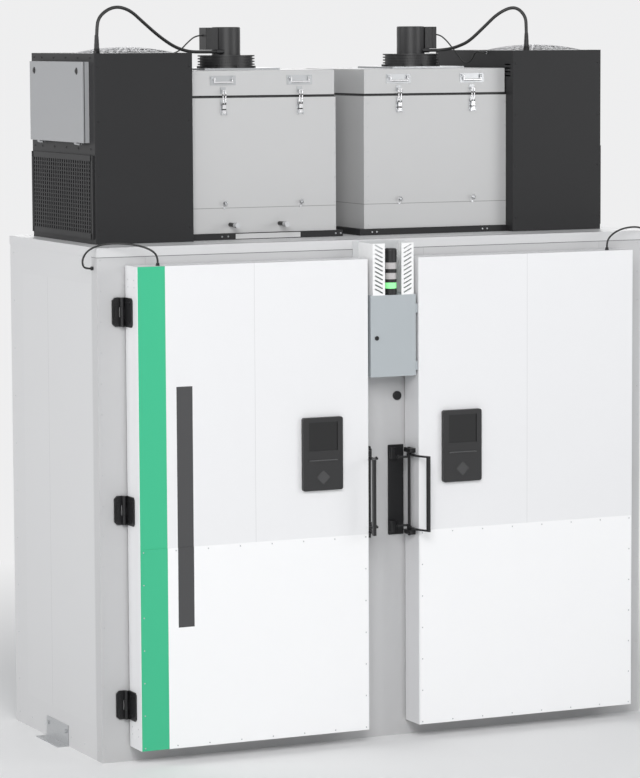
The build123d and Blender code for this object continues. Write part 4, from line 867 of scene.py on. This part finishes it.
HOUSING_X = (0.078, 0.732)
HOUSING_FOOT, HOUSING_TOP, HOUSING_PITCH = 2.145, 2.66, 0.103
for side, sign in SIGNED_SIDES:
    points = unit_edges(sign, unit_high[1] + HAIR, REAR_PITCH)
    screws("unit_back_screws_" + side, points, UNIT_HEAD, BACK, "cabinet", **DARK)
    behind, before = coil_high[1] + HAIR, coil_low[1] - HAIR
    for x in HOUSING_X:
        for face, y, facing in (("back", behind, BACK), ("front", before, FRONT)):
            points = row((sign * x, y, HOUSING_FOOT), (sign * x, y, HOUSING_TOP), HOUSING_PITCH)
            name = f"housing_screws_{side}_{face}{round(x * 1000)}"
            screws(name, points, HOUSING_HEAD, facing, "cabinet")
print("side and back screws done")

# %% [markdown]
# ## Wires of the fan guards
# Each roof fan has a domed guard of thin bright wires that swirl from the hub to the rim.
# The rings and spokes are rigid parts already. The finer wires are one spiral arm, bent over
# the dome and copied round the hub, so their number and swirl are two inputs.


# %% Swirl tree
def swirl_tree():
    tree = Tree("swirl", {"Wires": "Int", "Inner": "Float", "Outer": "Float", "Rise": "Float",
                          "Swirl": "Float", "Wire": "Float"})
    arm = tree.node("GeometryNodeCurveSpiral", None, {
        "Resolution": 96, "Rotations": tree.size("Swirl"), "Start Radius": tree.size("Inner"),
        "End Radius": tree.size("Outer"), "Height": 0.0})
    place = tree.node("GeometryNodeInputPosition")
    apart = tree.node("ShaderNodeVectorMath", {"operation": "LENGTH"}, {0: place.outputs[0]})
    share = tree.maths("DIVIDE", apart.outputs["Value"], tree.size("Outer"))
    fall = tree.maths("SUBTRACT", 1.0, tree.maths("MULTIPLY", share, share))
    lift = tree.vector(z=tree.maths("MULTIPLY", fall, tree.size("Rise")))
    domed = tree.node("GeometryNodeSetPosition", None, {
        "Geometry": arm.outputs[0], "Offset": lift})
    section = tree.node("GeometryNodeCurvePrimitiveCircle", None, {
        "Resolution": 6, "Radius": tree.size("Wire")})
    wire = tree.node("GeometryNodeCurveToMesh", None, {
        "Curve": domed.outputs[0], "Profile Curve": section.outputs[0], "Fill Caps": True})
    spots = tree.node("GeometryNodePoints", None, {"Count": tree.size("Wires")})
    index = tree.node("GeometryNodeInputIndex")
    angle = tree.maths("MULTIPLY", index.outputs[0], 2 * math.pi)
    angle = tree.maths("DIVIDE", angle, tree.size("Wires"))
    ring = tree.node("GeometryNodeInstanceOnPoints", None, {
        "Points": spots.outputs[0], "Instance": wire.outputs[0], "Rotation": tree.vector(z=angle)})
    ring = tree.node("GeometryNodeRealizeInstances", None, {"Geometry": ring.outputs[0]})
    return tree.finish(ring.outputs[0], FINISH["guard_metal"])


FAN_AT = (0.960, 0.424 - CENTRE_Y, 2.8765)
GUARD = {"Wires": 30, "Inner": 0.022, "Outer": 0.201, "Rise": 0.022, "Swirl": 0.16, "Wire": 0.0016}
fans = [(sign * FAN_AT[0], FAN_AT[1], FAN_AT[2]) for sign in (-1, 1)]
wires = grow("guard_wires", swirl_tree(), fans, GUARD, "cabinet")
print("guard wires:", len(wires.data.polygons), "faces")

# %% [markdown]
# ## Intake grilles
# Air enters each roof unit through a grille of short upright slots. Cutting hundreds of slots
# in a sheet makes heavy booleans. Crossing two sets of bars gives the same holes, so the tree
# lays upright bars and level bars from two counts and frames them.


# %% Grille tree
def bars(tree, count, step, start, size):
    """Boxes of one size, laid out on a line."""
    line = tree.node("GeometryNodeMeshLine", None, {
        "Count": count, "Start Location": start, "Offset": step})
    box = tree.node("GeometryNodeMeshCube", None, {"Size": size})
    laid = tree.node("GeometryNodeInstanceOnPoints", None, {
        "Points": line.outputs[0], "Instance": box.outputs[0]})
    return laid.outputs[0]


LEVEL_SHARE = 0.8  # level bars are thinner, so that the two sets share no face


def grille_tree():
    tree = Tree("grille", {"Columns": "Int", "Rows": "Int", "Width": "Float", "Height": "Float",
                           "Depth": "Float", "Bar": "Float", "Cross": "Float", "Border": "Float"})
    width, height, border = tree.size("Width"), tree.size("Height"), tree.size("Border")
    open_w = tree.maths("SUBTRACT", width, tree.maths("MULTIPLY", border, 2.0))
    open_h = tree.maths("SUBTRACT", height, tree.maths("MULTIPLY", border, 2.0))
    pitch_y = tree.maths("DIVIDE", open_w, tree.size("Columns"))
    pitch_z = tree.maths("DIVIDE", open_h, tree.size("Rows"))
    depth = tree.size("Depth")
    thin = tree.maths("MULTIPLY", depth, LEVEL_SHARE)
    half_w = tree.maths("MULTIPLY", open_w, -0.5)
    half_h = tree.maths("MULTIPLY", open_h, -0.5)
    uprights = bars(tree, tree.maths("ADD", tree.size("Columns"), 1.0), tree.vector(y=pitch_y),
                    tree.vector(y=half_w), tree.vector(depth, tree.size("Bar"), open_h))
    levels = bars(tree, tree.maths("ADD", tree.size("Rows"), 1.0), tree.vector(z=pitch_z),
                  tree.vector(z=half_h), tree.vector(thin, open_w, tree.size("Cross")))
    side_step = tree.maths("SUBTRACT", width, border)
    rail_step = tree.maths("SUBTRACT", height, border)
    side_at = tree.maths("MULTIPLY", side_step, -0.5)
    rail_at = tree.maths("MULTIPLY", rail_step, -0.5)
    sides = bars(tree, 2, tree.vector(y=side_step), tree.vector(y=side_at),
                 tree.vector(depth, border, height))
    rails = bars(tree, 2, tree.vector(z=rail_step), tree.vector(z=rail_at),
                 tree.vector(depth, side_step, border))
    whole = tree.node("GeometryNodeRealizeInstances", None, {
        "Geometry": tree.join(uprights, levels, sides, rails)})
    return tree.finish(whole.outputs[0], FINISH["charcoal_sheet"])


low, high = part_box("intake_grilles")
x, y, z = high[0] - GRILLE_DEPTH / 2, (low[1] + high[1]) / 2, (low[2] + high[2]) / 2
GRILLE = {"Columns": 26, "Rows": 18, "Width": high[1] - low[1], "Height": high[2] - low[2],
          "Depth": GRILLE_DEPTH, "Bar": 0.0118, "Cross": 0.0050, "Border": 0.022}
grille = grow("grille_bars", grille_tree(), [(x, y, z), (-x, y, z)], GRILLE, "cabinet")
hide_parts("intake_grilles")
print("grilles:", len(grille.data.polygons), "faces")

# %% [markdown]
# ## Strain reliefs
# Where a power cable leaves a roof unit, a ribbed boot stops it from bending sharply. It's a
# stack of rings that shrink upwards, so the ring's size comes from its index in the stack.


# %% Boot tree
BOOT_SIDES = 20
RING_SHARE, TIP_SHARE, FOOT_SHARE = 0.62, 0.94, 0.86


def boot_tree():
    tree = Tree("boot", {"Rings": "Int", "Wide": "Float", "Narrow": "Float", "Pitch": "Float"})
    wide, narrow, pitch = tree.size("Wide"), tree.size("Narrow"), tree.size("Pitch")
    line = tree.node("GeometryNodeMeshLine", None, {
        "Count": tree.size("Rings"), "Offset": tree.vector(z=pitch)})
    ring = tree.node("GeometryNodeMeshCylinder", None, {
        "Vertices": BOOT_SIDES, "Radius": wide,
        "Depth": tree.maths("MULTIPLY", pitch, RING_SHARE)})
    index = tree.node("GeometryNodeInputIndex").outputs[0]
    share = tree.maths("DIVIDE", index, tree.size("Rings"))
    loss = tree.maths("SUBTRACT", 1.0, tree.maths("DIVIDE", narrow, wide))
    scale = tree.maths("SUBTRACT", 1.0, tree.maths("MULTIPLY", share, loss))
    rings = tree.node("GeometryNodeInstanceOnPoints", None, {
        "Points": line.outputs[0], "Instance": ring.outputs[0],
        "Scale": tree.vector(scale, scale, 1.0)})
    core = tree.node("GeometryNodeMeshCone", None, {
        "Vertices": BOOT_SIDES, "Radius Top": tree.maths("MULTIPLY", narrow, TIP_SHARE),
        "Radius Bottom": tree.maths("MULTIPLY", wide, FOOT_SHARE),
        "Depth": tree.maths("MULTIPLY", pitch, tree.size("Rings"))})
    whole = tree.node("GeometryNodeRealizeInstances", None, {
        "Geometry": tree.join(rings.outputs[0], core.outputs[0])})
    return tree.finish(whole.outputs[0], FINISH["black_plastic"])


BOOT_Y, BOOT_Z = 0.239 - CENTRE_Y, 2.8955
BOOT_AT = ((0.826, BOOT_Y, BOOT_Z), (-1.152, BOOT_Y, BOOT_Z))
BOOT = {"Rings": 10, "Wide": 0.0115, "Narrow": 0.0082, "Pitch": 0.0055}
boots = grow("cable_boots", boot_tree(), BOOT_AT, BOOT, "cabinet")
print("boots:", len(boots.data.polygons), "faces")

# %% [markdown]
# ## Cables
# A cable bends smoothly, so each one is a NURBS curve drawn towards a few listed points, in
# millimetres. The round section is the curve's own bevel. Each cable joins two parts that
# move apart.

# %% Cable routes
DOOR_CABLE = [
    (1263, 45, 2016), (1286, 45, 2016), (1300, 44, 2030), (1301, 38, 2060), (1287, 14, 2092),
    (1254, -16, 2112), (1204, -38, 2120), (1142, -60, 2117), (1090, -84, 2106), (1052, -98, 2088),
    (1033, -101, 2064), (1033, -101, 2039.7),
]
POWER_CABLE_RIGHT = [
    (826, 239, 2895.5), (826, 239, 2966), (826, 247, 3026), (784, 269, 3066), (722, 301, 3036),
    (676, 345, 2976), (632, 400, 2915), (608, 448, 2895), (588, 484, 2884), (564, 510, 2879),
    (535, 527, 2877), (502, 527, 2877),
]
POWER_CABLE_LEFT = [
    (-1152, 239, 2895.5), (-1152, 239, 2968), (-1139, 247, 3026), (-1070, 262, 3067),
    (-989, 290, 3055), (-907, 330, 2998), (-823, 375, 2944), (-738, 430, 2903), (-672, 476, 2885),
    (-622, 504, 2878), (-576, 520, 2877), (-538, 527, 2877), (-502, 527, 2877),
]
SIGNAL_CABLE_RIGHT = [
    (546, 572, 2946), (574, 572, 2946), (604, 564, 2922), (631, 555, 2887), (653, 547, 2857),
    (666, 537, 2833), (677, 527, 2821), (691, 511, 2823), (699, 497, 2841), (701, 482, 2862),
    (704, 468, 2871), (711, 454, 2869), (725, 446, 2866), (741, 446, 2866),
]
SIGNAL_CABLE_LEFT = [
    (-546, 572, 2946), (-574, 572, 2946), (-607, 580, 2919), (-636, 592, 2885), (-672, 598, 2869),
    (-712, 602, 2866), (-741, 602, 2866),
]


def metres(point):
    x, y, z = point
    return Vector((x / 1000, y / 1000 - CENTRE_Y, z / 1000))


def cable(name, route, radius, moving, start, end):
    """A round cable along a route."""
    data = bpy.data.curves.new(name, "CURVE")
    data.dimensions = "3D"
    spline = data.splines.new("NURBS")
    spline.points.add(len(route) - 1)
    for point, place in zip(spline.points, route):
        point.co = (*metres(place), 1.0)
    spline.order_u = 3
    spline.use_endpoint_u = True
    spline.resolution_u = 8
    drawn = bpy.data.objects.new(name + "_route", data)
    line = bpy.data.meshes.new_from_object(drawn)
    path = [v.co.copy() for v in line.vertices]
    length = sum((b - a).length for a, b in zip(path, path[1:]))
    data.bevel_depth = radius
    data.bevel_resolution = 4
    data.use_fill_caps = True
    piece = bpy.data.objects.new("bent_" + name, bpy.data.meshes.new_from_object(drawn))
    bpy.data.objects.remove(drawn)
    bpy.context.scene.collection.objects.link(piece)
    put(piece, FINISH["cable_black"])
    tuple(metres(start))
    tuple(metres(end))
    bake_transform(piece)
    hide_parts(name)
    return length


def level(point, height):
    """The same place at another height."""
    return (point[0], point[1], height)


DOOR_RADIUS, POWER_RADIUS, SIGNAL_RADIUS = 0.004, 0.007, 0.003
DOOR_LEVEL, ROOF_LEVEL = 2016, 2900
POWER = {"left": POWER_CABLE_LEFT, "right": POWER_CABLE_RIGHT}
SIGNAL = {"left": SIGNAL_CABLE_LEFT, "right": SIGNAL_CABLE_RIGHT}
lengths = {}
for side, sign in SIGNED_SIDES:
    loop = [(sign * x, y, z) for x, y, z in DOOR_CABLE]
    lengths["door " + side] = cable(
        "door_cable_" + side, loop, DOOR_RADIUS, "door_" + side,
        level(loop[1], DOOR_LEVEL), level(loop[-1], DOOR_LEVEL))
for side in SIDES:
    line = POWER[side]
    lengths["power " + side] = cable(
        "power_cable_" + side, line, POWER_RADIUS, "lid_" + side,
        level(line[0], ROOF_LEVEL), level(line[-1], ROOF_LEVEL))
    line = SIGNAL[side]
    lengths["signal " + side] = cable(
        "signal_cable_" + side, line, SIGNAL_RADIUS, "lid_" + side,
        level(line[-1], ROOF_LEVEL), level(line[0], ROOF_LEVEL))
for name, length in lengths.items():
    print(name, "cable", round(length, 3), "m")

# %% [markdown]
# ## The stage
# A plain pale floor that fades into a plain pale backdrop, a large soft light in front and to
# the left, weaker ones from the other sides, and a grey sky that fills the shadows. The sky
# is dim where it lights the object, and pale where the camera or a polished part sees it.

# %% Stage and lights
FLOOR_COLOUR = (0.84, 0.84, 0.84)
BACKDROP = (0.86, 0.86, 0.865)
FADE_FROM = 1.9
FADE_OVER = 3.0
FLOOR_REACH = 60.0
SKY = (0.342, 0.350, 0.361)


def seen_rays(tree):
    """1 for rays that look at the backdrop itself, straight or through metal and glass."""
    rays = tree.nodes.new("ShaderNodeLightPath")
    seen = Sock(tree, rays.outputs["Is Camera Ray"])
    for kind in ("Is Glossy Ray", "Is Transmission Ray"):
        seen = seen + Sock(tree, rays.outputs[kind])
    return seen.clamp()


def stage_paper():
    """Pale paper that shows the object's shadow nearby and fades to the backdrop further off."""
    paper = finish("stage paper", FLOOR_COLOUR, 0.9, vary=0.0, gloss=0.1)
    tree = paper.node_tree
    place = Sock(tree, tree.nodes.new("ShaderNodeTexCoord").outputs["Object"])
    away = place.node("ShaderNodeVectorMath", {"operation": "LENGTH"}, {0: place}, out="Value")
    fade = ((away - FADE_FROM) / FADE_OVER).clamp() * seen_rays(tree)
    white = tree.nodes.new("ShaderNodeEmission")
    white.inputs["Color"].default_value = (*BACKDROP, 1.0)
    mixed = tree.nodes.new("ShaderNodeMixShader")
    tree.links.new(fade.output, mixed.inputs[0])
    tree.links.new(tree.nodes["Principled BSDF"].outputs[0], mixed.inputs[1])
    tree.links.new(white.outputs[0], mixed.inputs[2])
    tree.links.new(mixed.outputs[0], tree.nodes["Material Output"].inputs["Surface"])
    return paper


def stage_floor():
    mesh = bpy.data.meshes.new("stage")
    far = FLOOR_REACH
    corners = [(-far, -far, 0), (far, -far, 0), (far, far, 0), (-far, far, 0)]
    mesh.from_pydata(corners, [], [(0, 1, 2, 3)])
    sheet = bpy.data.objects.new("stage", mesh)
    bpy.context.scene.collection.objects.link(sheet)
    put(sheet, stage_paper())


def stage_world():
    """A soft grey sky that lights the object, seen by the camera as the backdrop."""
    world = bpy.data.worlds.new("world")
    bpy.context.scene.world = world
    world.use_nodes = True
    tree = world.node_tree
    sky = tree.nodes["Background"]
    seen = seen_rays(tree)
    tree.links.new(seen.mix(SKY, BACKDROP).output, sky.inputs["Color"])
    sky.inputs["Strength"].default_value = 1.0


def area_light(name, at, towards, size, power):
    data = bpy.data.lights.new(name, "AREA")
    data.shape = "RECTANGLE"
    data.size = size[0]
    data.size_y = size[1]
    data.energy = power
    lamp = bpy.data.objects.new(name, data)
    bpy.context.scene.collection.objects.link(lamp)
    lamp.location = at
    lamp.rotation_euler = (Vector(towards) - Vector(at)).to_track_quat("-Z", "Y").to_euler()


stage_floor()
stage_world()
area_light("key", (-3.5, -7.5, 5.2), (0, -0.4, 1.3), (4.0, 4.0), 400)
area_light("fill", (6.0, -6.5, 3.6), (0, 0, 1.2), (4.0, 3.0), 140)
area_light("side", (-7.0, 0.5, 3.0), (-1.0, 0.2, 1.4), (3.0, 3.0), 120)
area_light("back", (3.5, 7.5, 4.6), (0, 0.4, 1.5), (6.0, 4.5), 150)
bpy.context.scene.view_settings.view_transform = "Standard"
